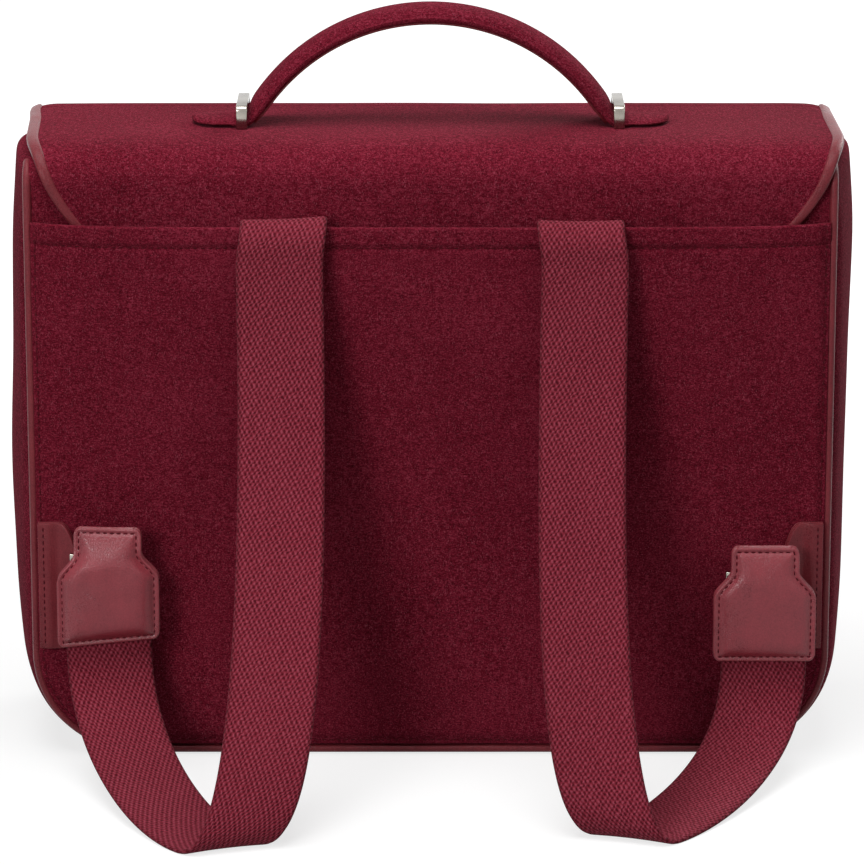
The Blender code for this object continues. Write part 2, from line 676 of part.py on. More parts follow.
def hook(side, centre, carrier):
    """A flat snap hook with a thumb gate on its left."""
    outer, inner = HOOK_RADIUS, HOOK_RADIUS - HOOK_BAR
    lower, upper = GATE_TO - 360, GATE_FROM
    half = HOOK_SHANK_WIDTH / 2
    meet = math.degrees(math.asin(half / outer))
    shank_end = -outer - HOOK_SHANK
    wide, tall = HOOK_PLATE[0] / 2, HOOK_PLATE[1]
    plate = [(-half, shank_end), (-wide, shank_end), (-wide, shank_end - tall), (wide, shank_end - tall),
             (wide, shank_end), (half, shank_end)]
    body = [*arc((0, 0), outer, lower, -90 - meet), *plate, *arc((0, 0), outer, meet - 90, upper, 14),
            *arc((0, 0), inner, upper, lower, 18)]
    add_piece("hook_" + side, flat([body], HOOK_METAL, AXES_XZ, centre), NICKEL, carrier)
    start, end = GATE_FROM + GATE_TIP_SLACK, GATE_TO - GATE_PIVOT_SLACK
    middle = (start + end) / 2
    lug = [(-outer - GATE_LUG, -HOOK_BAR / 2), (-outer - GATE_LUG, HOOK_BAR / 2)]
    beside = GATE_LUG_HALF_ANGLE
    bar = [*arc((0, 0), outer, start, middle - beside, 4), *lug[::-1],
           *arc((0, 0), outer, middle + beside, end, 4), *arc((0, 0), inner, end, start, 8)]
    swing = math.radians(end)
    on_bar = (outer + inner) / 2
    axis = (centre[0] + on_bar * math.cos(swing), HOOK_Y, centre[2] + on_bar * math.sin(swing))
    gate_pivot = pivot("gate_pivot_" + side, axis, carrier)
    add_piece("hook_gate_" + side, flat([bar], HOOK_METAL, AXES_XZ, centre), NICKEL, gate_pivot)


def anchor(side, sign):
    """A leather strip folded round the D-ring's bar and sewn to the pocket panel, and the ring in it."""
    edge = PANEL_HALF - ANCHOR_EDGE_INSET + ANCHOR_LEATHER
    bar_x = edge - ANCHOR_LENGTH
    low = POCKET_FACE - GAP
    sleeve = RING_WIRE + GAP
    bend = arc((bar_x, RING_Y), sleeve, 90, 270)
    lay = low - ANCHOR_LEATHER
    path = [(edge, lay), (bar_x + ANCHOR_SLANT, lay), (bar_x, lay), *bend[1:-1], (bar_x, RING_Y - sleeve),
            (bar_x + ANCHOR_SLANT, lay - GAP), (edge, lay - GAP)]

    def place(u, v):
        x, y = path[round(u * (len(path) - 1))]
        share = max(0.0, min(1.0, (x - bar_x) / ANCHOR_SLANT))
        tall = ANCHOR_HALF_INNER + (ANCHOR_HALF_OUTER - ANCHOR_HALF_INNER) * share
        return Vector((sign * x, y, ANCHOR_Z + (2 * v - 1) * tall))

    strip = add_piece("anchor_" + side, sheet(len(path) - 1, 2, place), LEATHER)
    thicken(strip, ANCHOR_LEATHER, sign)
    ring_pivot = pivot("ring_pivot_" + side, (sign * bar_x, RING_Y, ANCHOR_Z))
    tall, reach = RING_HALF_HEIGHT, RING_REACH
    bow = [(bar_x - reach * math.sin(a), RING_Y, ANCHOR_Z + tall * math.cos(a))
           for a in (math.radians(180 * i / 14) for i in range(15))]
    wire = [Vector((sign * x, y, z)) for x, y, z in bow]
    add_piece("d_ring_" + side, tube(wire, RING_WIRE, 8, cyclic=True), NICKEL, ring_pivot)


def build():
    panels()
    pocket()
    inner_pieces()
    flap_pivot = pivot("flap_pivot", (0, FLAP_HINGE_Y, FLAP_TOP + BINDING_LEATHER))
    leaf_hinge = (0, FLAP_FRONT_Y + FELT + BINDING_LEATHER, FLAP_LEAF_TOP)
    leaf_pivot = pivot("leaf_pivot", leaf_hinge, flap_pivot)
    handle_pivot = pivot("handle_pivot", (0, 0, HANDLE_AXIS_Z), flap_pivot)
    flap(flap_pivot, leaf_pivot)
    handle(flap_pivot, handle_pivot)
    for side, sign in SIDES.items():
        strap_pivot = pivot("strap_pivot_" + side, (sign * STRAP_X[side], RIM_Y, STRAP_TOP + WEBBING / 2))
        strap(side, sign, strap_pivot)
        anchor(side, sign)


build()
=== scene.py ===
"""Studio scene of the felt satchel, standing on a white floor and seen from its back."""

import math
from functools import cached_property

import bmesh
import bpy
from mathutils import Matrix, Vector, noise


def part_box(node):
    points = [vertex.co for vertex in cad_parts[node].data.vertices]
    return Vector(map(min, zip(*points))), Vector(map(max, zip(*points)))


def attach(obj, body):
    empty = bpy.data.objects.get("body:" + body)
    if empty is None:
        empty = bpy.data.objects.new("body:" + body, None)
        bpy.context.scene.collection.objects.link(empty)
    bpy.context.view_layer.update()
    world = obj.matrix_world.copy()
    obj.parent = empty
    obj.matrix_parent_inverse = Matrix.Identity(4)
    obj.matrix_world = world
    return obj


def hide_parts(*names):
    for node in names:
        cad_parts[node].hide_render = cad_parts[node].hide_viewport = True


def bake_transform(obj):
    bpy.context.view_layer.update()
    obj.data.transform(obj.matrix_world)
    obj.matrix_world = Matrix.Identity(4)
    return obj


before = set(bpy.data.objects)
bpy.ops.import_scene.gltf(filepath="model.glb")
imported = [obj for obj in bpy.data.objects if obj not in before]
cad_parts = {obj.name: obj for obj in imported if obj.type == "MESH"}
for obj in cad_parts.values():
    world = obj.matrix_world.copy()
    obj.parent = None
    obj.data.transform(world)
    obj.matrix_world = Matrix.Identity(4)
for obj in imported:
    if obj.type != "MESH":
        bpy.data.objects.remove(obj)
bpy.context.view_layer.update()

# Directions
SIDES = {"left": -1, "right": 1}
UP = Vector((0, 0, 1))
TO_BACK = Vector((0, -1, 0))
TO_FRONT = Vector((0, 1, 0))
AXES_XZ = (Vector((1, 0, 0)), UP)
AXES_YZ = (TO_FRONT, UP)

# Body, in metres as in the frame
PANEL_WIDTH = 0.366
CORNER_RADIUS = 0.048
FELT = 0.003
GAP = 0.0003
BACK_Y = -0.0525
FRONT_Y = 0.0525
PIPING_RADIUS = 0.0022
PIPING_OVER = 50.0
PIPING_DIP = 0.0025
CORD_RADIUS = 0.0019
CORD_INSET = 0.0037
PANEL_INSET = 2 * PIPING_RADIUS + GAP
PANEL_HALF = PANEL_WIDTH / 2 - PANEL_INSET
PANEL_BOTTOM = PANEL_INSET + GAP
PANEL_RADIUS = CORNER_RADIUS - PANEL_INSET
PANEL_TOP = 0.2656
LINING = 0.0008
LINING_TOP = 0.2536
LINING_BACK_Y = -0.0474
LINING_FRONT_Y = 0.0492
LINING_BOTTOM = 0.0051
LINING_ROUNDING = 0.0025

# Gusset
GUSSET_BULGE = 0.0076
GUSSET_FULLNESS = {"left": 0.0027, "right": 0.0023}
GUSSET_FULL_AT = {"left": 0.125, "right": 0.255}
GUSSET_FULL_REACH = {"left": 0.060, "right": 0.080}
GUSSET_CORNER_DRAW = 0.0018
GUSSET_CORNER_AT = 0.042
GUSSET_CORNER_REACH = 0.018
GUSSET_TOP = 0.2792
GUSSET_ROLL = 0.0058
GUSSET_LAP = 0.010
GUSSET_BACK_DROP = 0.0066
GUSSET_FRONT_DROP = 0.013
GUSSET_SLOPE = 0.045
GUSSET_TUCK = 0.0012
GUSSET_TUCK_SHARE = 0.04
GUSSET_NARROWING = 0.0026

# Slip pocket
POCKET_FACE = BACK_Y - GAP - FELT
POCKET_MOUTH = 0.2494
POCKET_BULGE = 0.009
POCKET_BULGE_START = 0.100
POCKET_BULGE_SQUARENESS = 8
MOUTH_SAG = 0.0003
SAG_REACH = 0.05
HEM = 0.0095
HEM_SWELL = 0.0005
HEM_EASE = 0.002
HEM_GROOVE = 1.8
HEM_GROOVE_WIDTH = 0.0011
HEM_ZONE = HEM * 1.6

# Seams and unevenness of the felt
SEAM_INSET = 0.0022
SEAM_DEPTH = 0.0011
SEAM_WIDTH = 0.0013
SEAM_END = 0.02
SEAM_BELOW_MOUTH = 0.002
HEM_SEAM_INSET = 0.004
EDGE_ROLL = 0.0014
EDGE_ROLL_WIDTH = 0.0011
UNEVEN = 0.0005
UNEVEN_SCALE = 20
PANEL_UNEVEN_SCALE = 22
GUSSET_UNEVEN_ACROSS = 2
POCKET_SEED = 1.0
FRONT_SEED = 5.0
FLAP_SEED = 3
STITCH_PITCH = 0.0033
STITCH_SIZE = (0.0025, 0.0008, 0.0006)

# Flap
FLAP_TOP = 0.2836
FLAP_BACK_Y = BACK_Y - GAP
FLAP_FRONT_Y = 0.0569
FLAP_BACK_FOLD = 0.015
FLAP_FOLD_EASE = 0.015
BACK_PANEL_OVER = 0.0125
FLAP_FRONT_FOLD = 0.012
FLAP_LEAF_TOP = 0.2686
FLAP_HALF_WIDTH = 0.1839
FLAP_TAPER = {"left": 0.018, "right": 0.021}
FLAP_TAPER_LENGTH = 0.050
FLAP_WIDENING = {"left": 0.005, "right": -0.0022}
FLAP_TUCK = 0.008
FLAP_JOINT = 0.006
FLAP_JOINT_LIP = 0.0001
FLAP_CURL = 0.0024
FLAP_CURL_WIDTH = 0.011
FLAP_CURL_FROM = 0.005
FLAP_CURL_TO = 0.042
FLAP_SOFT_EDGE = 0.02
FLAP_FRONT_DROP = 0.1853
FLAP_CORNER_RADIUS = 0.040
BINDING_WIDTH = 0.0054
BINDING_LEATHER = 0.0008
BINDING_COVER = 0.6
BINDING_SQUARENESS = 0.6

# Snaps: a socket on the front panel and a stud on the flap
SNAP_SPACING = 0.200
SNAP_Z = 0.1283
SNAP_RADIUS = 0.009
SNAP_EDGE = 0.0004
SNAP_THICKNESS = {"socket": 0.002, "stud": 0.0015}
SNAP_RIM = {"socket": 0.0005, "stud": 0.0004}
SNAP_WELL = {"socket": (0.62, 0.55), "stud": (0.50, 0.45)}
SNAP_WELL_DEPTH = {"socket": 0.0006, "stud": 0.0003}

# Handle
HANDLE_WIDTH = 0.027
HANDLE_THICKNESS = 0.0072
HANDLE_END_THICKNESS = 0.0046
HANDLE_AXIS_Z = 0.2862
HANDLE_CROWN = 0.3352
HANDLE_RADIUS = 0.093
HANDLE_TIP = 0.108
HANDLE_TIP_SHARE = 0.12
HANDLE_FLANGE = 0.0026
HANDLE_FLANGE_SIDE = 0.85
HANDLE_EDGE_ROUND = 0.0018
HANDLE_EDGE_SHARE = 0.7
HANDLE_DOME_INSET = 0.0012
HANDLE_TONGUE = 0.0024
HANDLE_SQUEEZE = 0.006
HANDLE_THINNING = 0.003
UNDERLAY_HALF_SPAN = 0.0815
UNDERLAY_WIDTH = 0.0232
UNDERLAY = 0.0010
LOOP_X = 0.085
LOOP_BAND = 0.005
LOOP_METAL = 0.0022
LOOP_ROUNDING = 0.0026
LOOP_RISE = 0.0028
LOOP_BEVEL = 0.0007

# Straps
WEBBING_WIDTH = 0.0387
WEBBING = 0.0022
WEBBING_CUP = 0.0006
RIM_Y = -0.0633
STRAP_TOP = 0.2511
STRAP_X = {"left": 0.0668, "right": 0.0685}
STRAP_FOLD_RADIUS = 0.004
STRAP_FOLD_REACH = 0.0095
STRAP_FOLD_FALL = 0.014
STRAP_LIFT = {"left": 0.0006, "right": -0.0004}
STRAP_TILT = {"left": 0.0008, "right": 0.0}
STRAP_TOP_SHIFT = 0.0019
STRAP_LIFT_REACH = 0.018
STRAP_TUCK = 0.045
STRAP_IN_TAB = 0.020
STRAP_BELOW_TAB = 0.004
STRAP_FRONT_STEPS = 56
STRAP_REAR_STEPS = 36
BEND_X = {"left": 0.092, "right": 0.091}
BEND_REACH = {"left": 0.126, "right": 0.1135}
BEND_TURN = 20.0
BEND_PULL = 0.040
ARM_PULL = 0.130
ARM_LEAN = 0.15
ARM_SPREAD = -0.02
TAB_PULL = 0.040
WEB_Y = -0.071

# Tabs
TAB_X = {"left": 0.145, "right": 0.1505}
TAB_BOTTOM = {"left": 0.0595, "right": 0.0510}
TAB_SHEAR = {"left": 0.10, "right": 0.0}
TAB_NECK_LEAN = {"left": 0.0030, "right": 0.0010}
TAB_NECK_TURN = {"left": 0.10, "right": 0.0}
TAB_NECK_SLACK = 0.0026
TAB_SHOULDER_SWELL = {"left": 0.0026, "right": 0.0012}
TAB_NECK_BEND = 0.017
TAB_WIDTH = 0.046
TAB_HEIGHT = 0.053
TAB_NECK_WIDTH = 0.0306
TAB_NECK = 0.013
TAB_SHOULDER = 0.009
TAB_SHOULDER_EASE = 0.0015
TAB_ROUNDING = 0.0035
TAB_FRONT_LEAF = 0.002
TAB_BACK_LEAF = 0.0015
TAB_FRONT_Y = -0.0734
TAB_BACK_Y = -0.06885
TAB_PILLOW = 0.0008
TAB_PILLOW_RISE = 0.0026
TAB_PILLOW_POWER = 1.5
TAB_SIDE_SLOPE = 0.9
TAB_GROOVE = 0.0007
TAB_GROOVE_WIDTH = 0.0008
TAB_EDGE_ROUND = 0.0005
TAB_UNEVEN = 0.0002
TAB_UNEVEN_SCALE = 90
TAB_SEED = 4
TAB_STITCH_INSET = 0.0021
TAB_STITCH_SIZE = (0.0024, 0.0009, 0.0007)
LEATHER_STITCH_PITCH = 0.0031
LEATHER_STITCH_LIFT = 0.0001

# Hooks
HOOK_Y = -0.0663
HOOK_RADIUS = 0.010
HOOK_BAR = 0.0034
HOOK_METAL = 0.003
HOOK_BEVEL = 0.0006
HOOK_DROP = 0.0145
HOOK_SHANK = 0.006
HOOK_SHANK_WIDTH = 0.006
HOOK_PLATE = (0.022, 0.007)
GATE_FROM = 150.0
GATE_TO = 216.0
GATE_TIP_SLACK = 14.0
GATE_PIVOT_SLACK = 7.0
GATE_LUG = 0.0074
GATE_LUG_HALF_ANGLE = 8.0

# Anchors and rings
ANCHOR_Z = 0.082
ANCHOR_EDGE = 0.1772
ANCHOR_BAR_X = 0.1592
ANCHOR_SLANT = 0.0085
ANCHOR_SLANT_POWER = 2.5
ANCHOR_RIDGE = 0.0008
ANCHOR_RIDGE_X = 0.1727
ANCHOR_RIDGE_WIDTH = 0.0022
ANCHOR_HALF_OUTER = 0.0295
ANCHOR_HALF_INNER = 0.014
ANCHOR_LEATHER = 0.0014
ANCHOR_BEVEL = 0.0004
ANCHOR_SEAMS = (ANCHOR_EDGE - 0.0024, ANCHOR_BAR_X + 0.0065)
ANCHOR_SEAM_END = 0.002
ANCHOR_STITCH_SIZE = (0.0024, 0.0008, 0.0006)
RING_Y = -0.0593
RING_WIRE = 0.0015
RING_HALF_HEIGHT = 0.0165
RING_REACH = 0.018

# Plates and turned pieces: which edges are rounded, in degrees, and how finely
RIM_ANGLE = 40
BEVEL_SEGMENTS = 3
LATHE_STEPS = 32
MERGE_DISTANCE = 0.000005

# Angles in degrees past which an edge is drawn sharp
CREASE = 50
LEATHER_CREASE = 60
HANDLE_CREASE = 70
LINING_CREASE = 40
SNAP_CREASE = 35

# Colours as they look on a screen, 0 to 255
FELT_DARK = (72, 7, 21)
FELT_MID = (104, 18, 35)
FELT_LIGHT = (142, 44, 64)
FELT_FLECK = (174, 84, 102)
FELT_SHEEN = (255, 190, 205)
LEATHER_DARK = (120, 35, 46)
LEATHER_LIGHT = (152, 54, 65)
EDGE_DARK = (102, 31, 39)
EDGE_LIGHT = (134, 49, 57)
COTTON_DARK = (72, 8, 20)
COTTON_MID = (124, 34, 49)
COTTON_LIGHT = (156, 66, 82)
COTTON_SHEEN = (255, 200, 210)
THREAD_DARK = (56, 4, 13)
THREAD_LIGHT = (98, 18, 32)
NICKEL_BRIGHT = (166, 160, 151)
NICKEL_WORN = (138, 132, 124)
LINING_DARK = (58, 18, 26)
LINING_LIGHT = (88, 30, 40)
BOARD_DARK = (88, 84, 78)
BOARD_LIGHT = (116, 110, 102)

# Weave of the webbing
WEAVE_ACROSS = 0.0022
WEAVE_ALONG = 0.0017
WEAVE_LEAN = 0.25
WEAVE_WANDER = 4.5
SELVAGE_FROM = 0.0006
SELVAGE_TO = 0.0022

# Camera
CAMERA_TARGET = Vector((0.0007, BACK_Y, 0.1524))
CAMERA_ELEVATION = 15.0
CAMERA_DISTANCE = 2.1
CAMERA_LENS = 194.4
CAMERA_SENSOR = 36.0

# Lamps by place, width and power, all turned to the same spot
LIT = Vector((0, 0, 0.15))
LAMPS = {
    "overhead": ((-0.15, -0.36, 1.75), 1.3, 23.0),
    "from_left": ((-1.05, -1.92, 0.9), 0.9, 18.5),
    "from_right": ((1.3, -1.75, 1.1), 1.4, 4.0),
    "from_behind": ((1.3, 1.6, 1.2), 1.2, 24.0),
}

# Surroundings and floor
WHITE = (1, 1, 1, 1)
WORLD_LIGHT = 0.05
FLOOR_HALF = 8
FLOOR_COLOUR = (0.32, 0.32, 0.32, 1)
FLOOR_GLOW = 0.74
FLOOR_GLOW_FROM = 0.25
FLOOR_GLOW_TO = 0.80


def shade(colour):
    """A colour given as it looks on a screen, as the shader's own values."""
    parts = []
    for level in colour:
        part = level / 255
        parts.append(part / 12.92 if part <= 0.04045 else ((part + 0.055) / 1.055) ** 2.4)
    return (*parts, 1.0)


class Wire:
    """A node's output, with maths on values written as operators."""

    def __init__(self, finish, output):
        self.finish = finish
        self.output = output

    def __add__(self, other):
        return self.finish.maths("ADD", self, other)

    def __sub__(self, other):
        return self.finish.maths("SUBTRACT", self, other)

    def __rsub__(self, other):
        return self.finish.maths("SUBTRACT", other, self)

    def __mul__(self, other):
        return self.finish.maths("MULTIPLY", self, other)

    __radd__ = __add__
    __rmul__ = __mul__


class Finish:
    """A material or a world and the nodes that paint it."""

    def __init__(self, name, kind="materials", shader="Principled BSDF"):
        self.owner = getattr(bpy.data, kind).new(name)
        self.owner.use_nodes = True
        self.tree = self.owner.node_tree
        self.shader = self.tree.nodes[shader]

    def node(self, kind, settings, values, output=0):
        made = self.tree.nodes.new(kind)
        for key, value in settings.items():
            if key == "stops":
                self.set_stops(made.color_ramp, value)
            else:
                setattr(made, key, value)
        for key, value in values.items():
            self.feed(made.inputs[key], value)
        return Wire(self, made.outputs[output])

    def set_stops(self, ramp, stops):
        while len(ramp.elements) < len(stops):
            ramp.elements.new(1.0)
        for element, (position, colour) in zip(ramp.elements, stops):
            element.position = position
            element.color = shade(colour)

    def feed(self, socket, value):
        if isinstance(value, Wire):
            self.tree.links.new(value.output, socket)
        else:
            socket.default_value = value

    @cached_property
    def place(self):
        return self.node("ShaderNodeTexCoord", {}, {}, "Object")

    def cloud(self, scale, detail=3.0, roughness=0.55, squeeze=None):
        """Noise over the piece, squeezed together along each axis by the factors that are given."""
        place = self.place
        if squeeze:
            place = self.node("ShaderNodeMapping", {}, {"Vector": place, "Scale": squeeze})
        values = {"Vector": place, "Scale": scale, "Detail": detail, "Roughness": roughness}
        return self.node("ShaderNodeTexNoise", {}, values)

    def maths(self, operation, first, second=0.0):
        return self.node("ShaderNodeMath", {"operation": operation}, {0: first, 1: second})

    def ramp(self, value, stops):
        return self.node("ShaderNodeValToRGB", {"stops": stops}, {0: value})

    def mix(self, share, first, second):
        """A share of the way from one colour to another, each a link or as it looks on a screen."""
        first, second = (end if isinstance(end, Wire) else shade(end) for end in (first, second))
        return self.node("ShaderNodeMix", {"data_type": "RGBA"}, {0: share, 6: first, 7: second}, 2)

    def spread(self, value, low, high, to_low=0.0, to_high=1.0):
        values = {0: value, 1: low, 2: high, 3: to_low, 4: to_high}
        return self.node("ShaderNodeMapRange", {}, values)

    def bump(self, height, strength, distance):
        values = {"Height": height, "Strength": strength, "Distance": distance}
        return self.node("ShaderNodeBump", {}, values)

    def seen_directly(self):
        """1 where a ray comes from the camera, a reflection or a clear body, and 0 for scattered light."""
        rays = self.tree.nodes.new("ShaderNodeLightPath").outputs
        kinds = ("Camera", "Glossy", "Transmission")
        camera, glossy, clear = (Wire(self, rays["Is %s Ray" % kind]) for kind in kinds)
        return self.maths("MAXIMUM", camera, self.maths("MAXIMUM", glossy, clear))

    def surface(self, **values):
        for key, value in values.items():
            self.feed(self.shader.inputs[key.replace("_", " ")], value)
        return self.owner


def felt_finish():
    """Pressed wool: matte, with tangled fibres and slow clouds of tone."""
    made = Finish("wool_felt")
    clouds = made.cloud(16.0)
    tufts = made.cloud(380.0, 4.0, 0.65)
    fibres = made.cloud(900.0, 4.0, 0.75, (1.0, 1.0, 2.0))
    flecks = made.cloud(1100.0, 2.0, 0.6, (2.4, 1.0, 1.0))
    tone = clouds * 0.12 + tufts * 0.20 + fibres * 0.68
    body = made.ramp(tone, [(0.40, FELT_DARK), (0.50, FELT_MID), (0.62, FELT_LIGHT)])
    stray = made.spread(flecks, 0.58, 0.72)
    colour = made.mix(stray * 0.6, body, FELT_FLECK)
    normal = made.bump(fibres * 0.6 + tufts * 0.4, 0.55, 0.0009)
    return made.surface(Base_Color=colour, Roughness=0.95, Normal=normal, Specular_IOR_Level=0.06,
                        Sheen_Weight=0.02, Sheen_Roughness=0.5, Sheen_Tint=shade(FELT_SHEEN))


def leather_finish(name, dark, light, gloss, specular):
    """Smooth dyed leather with a fine grain and a soft, uneven sheen."""
    made = Finish(name)
    clouds = made.cloud(60.0)
    cells = {"feature": "DISTANCE_TO_EDGE"}
    pores = made.node("ShaderNodeTexVoronoi", cells, {"Vector": made.place, "Scale": 900.0})
    grain = made.cloud(1500.0, 3.0, 0.6)
    creases = made.cloud(190.0, 3.0, 0.6, (1.0, 1.0, 0.35))
    pitted = made.spread(pores, 0.0, 0.12)
    tone = clouds * 0.25 + grain * 0.55 + creases * 0.2
    body = made.mix(made.spread(tone, 0.36, 0.64), dark, light)
    colour = made.mix(0.28 - pitted * 0.28, body, dark)
    roughness = made.spread(clouds * 0.6 + grain * 0.4, 0.3, 0.7, gloss - 0.07, gloss + 0.09)
    height = pitted * 0.35 + grain * 0.35 + creases * 0.5
    normal = made.bump(height, 0.35, 0.0005)
    return made.surface(Base_Color=colour, Roughness=roughness, Normal=normal, Specular_IOR_Level=specular)


def webbing_finish():
    """Heavy cotton webbing: rows of small offset ribs across the strap."""
    made = Finish("cotton_webbing")
    flat = made.node("ShaderNodeTexCoord", {}, {}, "UV")
    across = made.node("ShaderNodeSeparateXYZ", {}, {0: flat}, "X")
    along = made.node("ShaderNodeSeparateXYZ", {}, {0: flat}, "Y")
    wander = made.cloud(420.0, 2.0) * WEAVE_WANDER
    rows = along * (math.pi / WEAVE_ALONG) + wander
    picks = across * (math.tau / WEAVE_ACROSS) + rows * WEAVE_LEAN + wander
    rib = made.maths("COSINE", rows) * made.maths("COSINE", picks) * 0.5 + 0.5
    fuzz = made.cloud(1300.0, 3.0, 0.65)
    clouds = made.cloud(30.0)
    from_edge = made.maths("MINIMUM", across, WEBBING_WIDTH - across)
    inside = made.spread(from_edge, SELVAGE_FROM, SELVAGE_TO)
    tone = rib * 0.62 + fuzz * 0.28 + clouds * 0.1
    body = made.ramp(tone, [(0.20, COTTON_DARK), (0.48, COTTON_MID), (0.80, COTTON_LIGHT)])
    colour = made.mix(0.35 - inside * 0.35, body, COTTON_DARK)
    normal = made.bump(rib * 0.8 + fuzz * 0.3, 0.85, 0.0008)
    return made.surface(Base_Color=colour, Roughness=0.9, Normal=normal, Specular_IOR_Level=0.12,
                        Sheen_Weight=0.06, Sheen_Roughness=0.5, Sheen_Tint=shade(COTTON_SHEEN))


def thread_finish():
    """Twisted sewing thread."""
    made = Finish("thread")
    ply = made.cloud(2600.0, 2.0)
    colour = made.mix(made.spread(ply, 0.35, 0.65), THREAD_DARK, THREAD_LIGHT)
    normal = made.bump(ply, 0.4, 0.0003)
    return made.surface(Base_Color=colour, Roughness=0.6, Normal=normal, Specular_IOR_Level=0.1)


def nickel_finish():
    """Polished nickel with faint wear and fine scratches."""
    made = Finish("nickel")
    wear = made.cloud(70.0, 4.0)
    scratches = made.cloud(260.0, squeeze=(1.0, 1.0, 14.0))
    colour = made.mix(made.spread(wear, 0.35, 0.7), NICKEL_BRIGHT, NICKEL_WORN)
    roughness = made.spread(wear * 0.6 + scratches * 0.4, 0.3, 0.7, 0.08, 0.22)
    normal = made.bump(scratches, 0.05, 0.0002)
    return made.surface(Base_Color=colour, Roughness=roughness, Normal=normal, Metallic=1.0)


def lining_finish():
    """Plain woven cotton."""
    made = Finish("lining_cotton")
    threads = {"Vector": made.place, "Scale": 330.0}
    warp = made.node("ShaderNodeTexWave", {"bands_direction": "X"}, threads)
    weft = made.node("ShaderNodeTexWave", {"bands_direction": "Z"}, threads)
    tone = warp * 0.3 + weft * 0.3 + made.cloud(25.0) * 0.4
    colour = made.mix(made.spread(tone, 0.2, 0.8), LINING_DARK, LINING_LIGHT)
    normal = made.bump(warp * 0.5 + weft * 0.5, 0.3, 0.0003)
    return made.surface(Base_Color=colour, Roughness=0.85, Normal=normal)


def board_finish():
    """Raw grey fibre board."""
    made = Finish("fibre_board")
    pulp = made.cloud(500.0, 4.0)
    tone = made.spread(pulp * 0.6 + made.cloud(20.0) * 0.4, 0.3, 0.7)
    colour = made.mix(tone, BOARD_DARK, BOARD_LIGHT)
    return made.surface(Base_Color=colour, Roughness=0.85, Normal=made.bump(pulp, 0.3, 0.0003))


WOOL = felt_finish()
LEATHER = leather_finish("leather", LEATHER_DARK, LEATHER_LIGHT, 0.30, 0.42)
EDGE_LEATHER = leather_finish("edge_leather", EDGE_DARK, EDGE_LIGHT, 0.31, 0.16)
COTTON = webbing_finish()
THREAD = thread_finish()
NICKEL = nickel_finish()
LINING_CLOTH = lining_finish()
FIBRE_BOARD = board_finish()


def link(name, data):
    """Puts a mesh, lamp or camera into the scene."""
    obj = bpy.data.objects.new(name, data)
    bpy.context.scene.collection.objects.link(obj)
    return obj


def mesh_of(name, bm):
    mesh = bpy.data.meshes.new(name)
    bm.to_mesh(mesh)
    bm.free()
    return mesh


def piece(name, bm, material, nodes=(), body=None, crease=None):
    """Links a mesh that is drawn in place, in the frame's own coordinates."""
    mesh = mesh_of(name, bm)
    mesh.shade_smooth()
    if crease:
        mesh.set_sharp_from_angle(angle=math.radians(crease))
    mesh.materials.append(material)
    obj = link(name, mesh)
    if nodes:
        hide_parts(*nodes)
    if body:
        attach(obj, body)
    return obj


def thicken(obj, thickness, side):
    """Gives a sheet its thickness, along its normals where side is 1 and against them where it is -1."""
    solid = obj.modifiers.new("Thickness", "SOLIDIFY")
    solid.thickness = thickness
    solid.offset = side
    solid.use_even_offset = True


def soften(obj):
    smooth = obj.modifiers.new("Softness", "SUBSURF")
    smooth.levels = 1
    smooth.render_levels = smooth.levels


def cloth(columns, rows, place, width=1.0, walked=None):
    """An open grid laid out by place(u, v), both from 0 to 1.

    Its UV map runs over the width, and over walked where that gives the length up to each row.
    """
    bm = bmesh.new()
    flat_map = bm.loops.layers.uv.new("UVMap")
    bmesh.ops.create_grid(bm, x_segments=columns, y_segments=rows, size=1)
    for face in bm.faces:
        for loop in face.loops:
            u, v = (loop.vert.co.x + 1) / 2, (loop.vert.co.y + 1) / 2
            loop[flat_map].uv = (u * width, walked[round(v * rows)] if walked else v)
    for vert in bm.verts:
        vert.co = place((vert.co.x + 1) / 2, (vert.co.y + 1) / 2)
    return bm


def loft(rings, cyclic=False):
    """A body drawn out through rings of the same count of points, its ends filled or joined up."""
    bm = bmesh.new()
    index_of = bm.verts.layers.int.new("index")
    start = [bm.verts.new(point) for point in rings[0]]
    for index, vert in enumerate(start):
        vert[index_of] = index
    edges = [bm.edges.new((start[i - 1], start[i])) for i in range(len(start))]
    first = list(edges)
    for ring in rings[1:]:
        made = bmesh.ops.extrude_edge_only(bm, edges=edges)["geom"]
        fresh = {item for item in made if isinstance(item, bmesh.types.BMVert)}
        for vert in fresh:
            vert.co = ring[vert[index_of]]
        lines = [item for item in made if isinstance(item, bmesh.types.BMEdge)]
        edges = [edge for edge in lines if set(edge.verts) <= fresh]
    if cyclic:
        bmesh.ops.bridge_loops(bm, edges=first + edges)
    else:
        bmesh.ops.contextual_create(bm, geom=first)
        bmesh.ops.contextual_create(bm, geom=edges)
    bmesh.ops.recalc_face_normals(bm, faces=bm.faces)
    return bm


def plate(outline, thickness, axes, centre, bevel):
    """A plate cut to an outline of pairs along the two axes, with its edges rounded over."""
    across, up = axes
    out = across.cross(up)
    bm = bmesh.new()
    base = Vector(centre) - out * thickness / 2
    face = bm.faces.new([bm.verts.new(base + across * a + up * b) for a, b in outline])
    made = bmesh.ops.extrude_face_region(bm, geom=[face])["geom"]
    raised = [item for item in made if isinstance(item, bmesh.types.BMVert)]
    bmesh.ops.translate(bm, vec=out * thickness, verts=raised)
    bmesh.ops.recalc_face_normals(bm, faces=bm.faces)
    turn = math.radians(RIM_ANGLE)
    rims = [edge for edge in bm.edges if edge.is_manifold and edge.calc_face_angle() > turn]
    bmesh.ops.bevel(bm, geom=rims, offset=bevel, offset_type="OFFSET", segments=BEVEL_SEGMENTS, profile=0.5,
                    affect="EDGES", material=-1, clamp_overlap=True)
    return bm


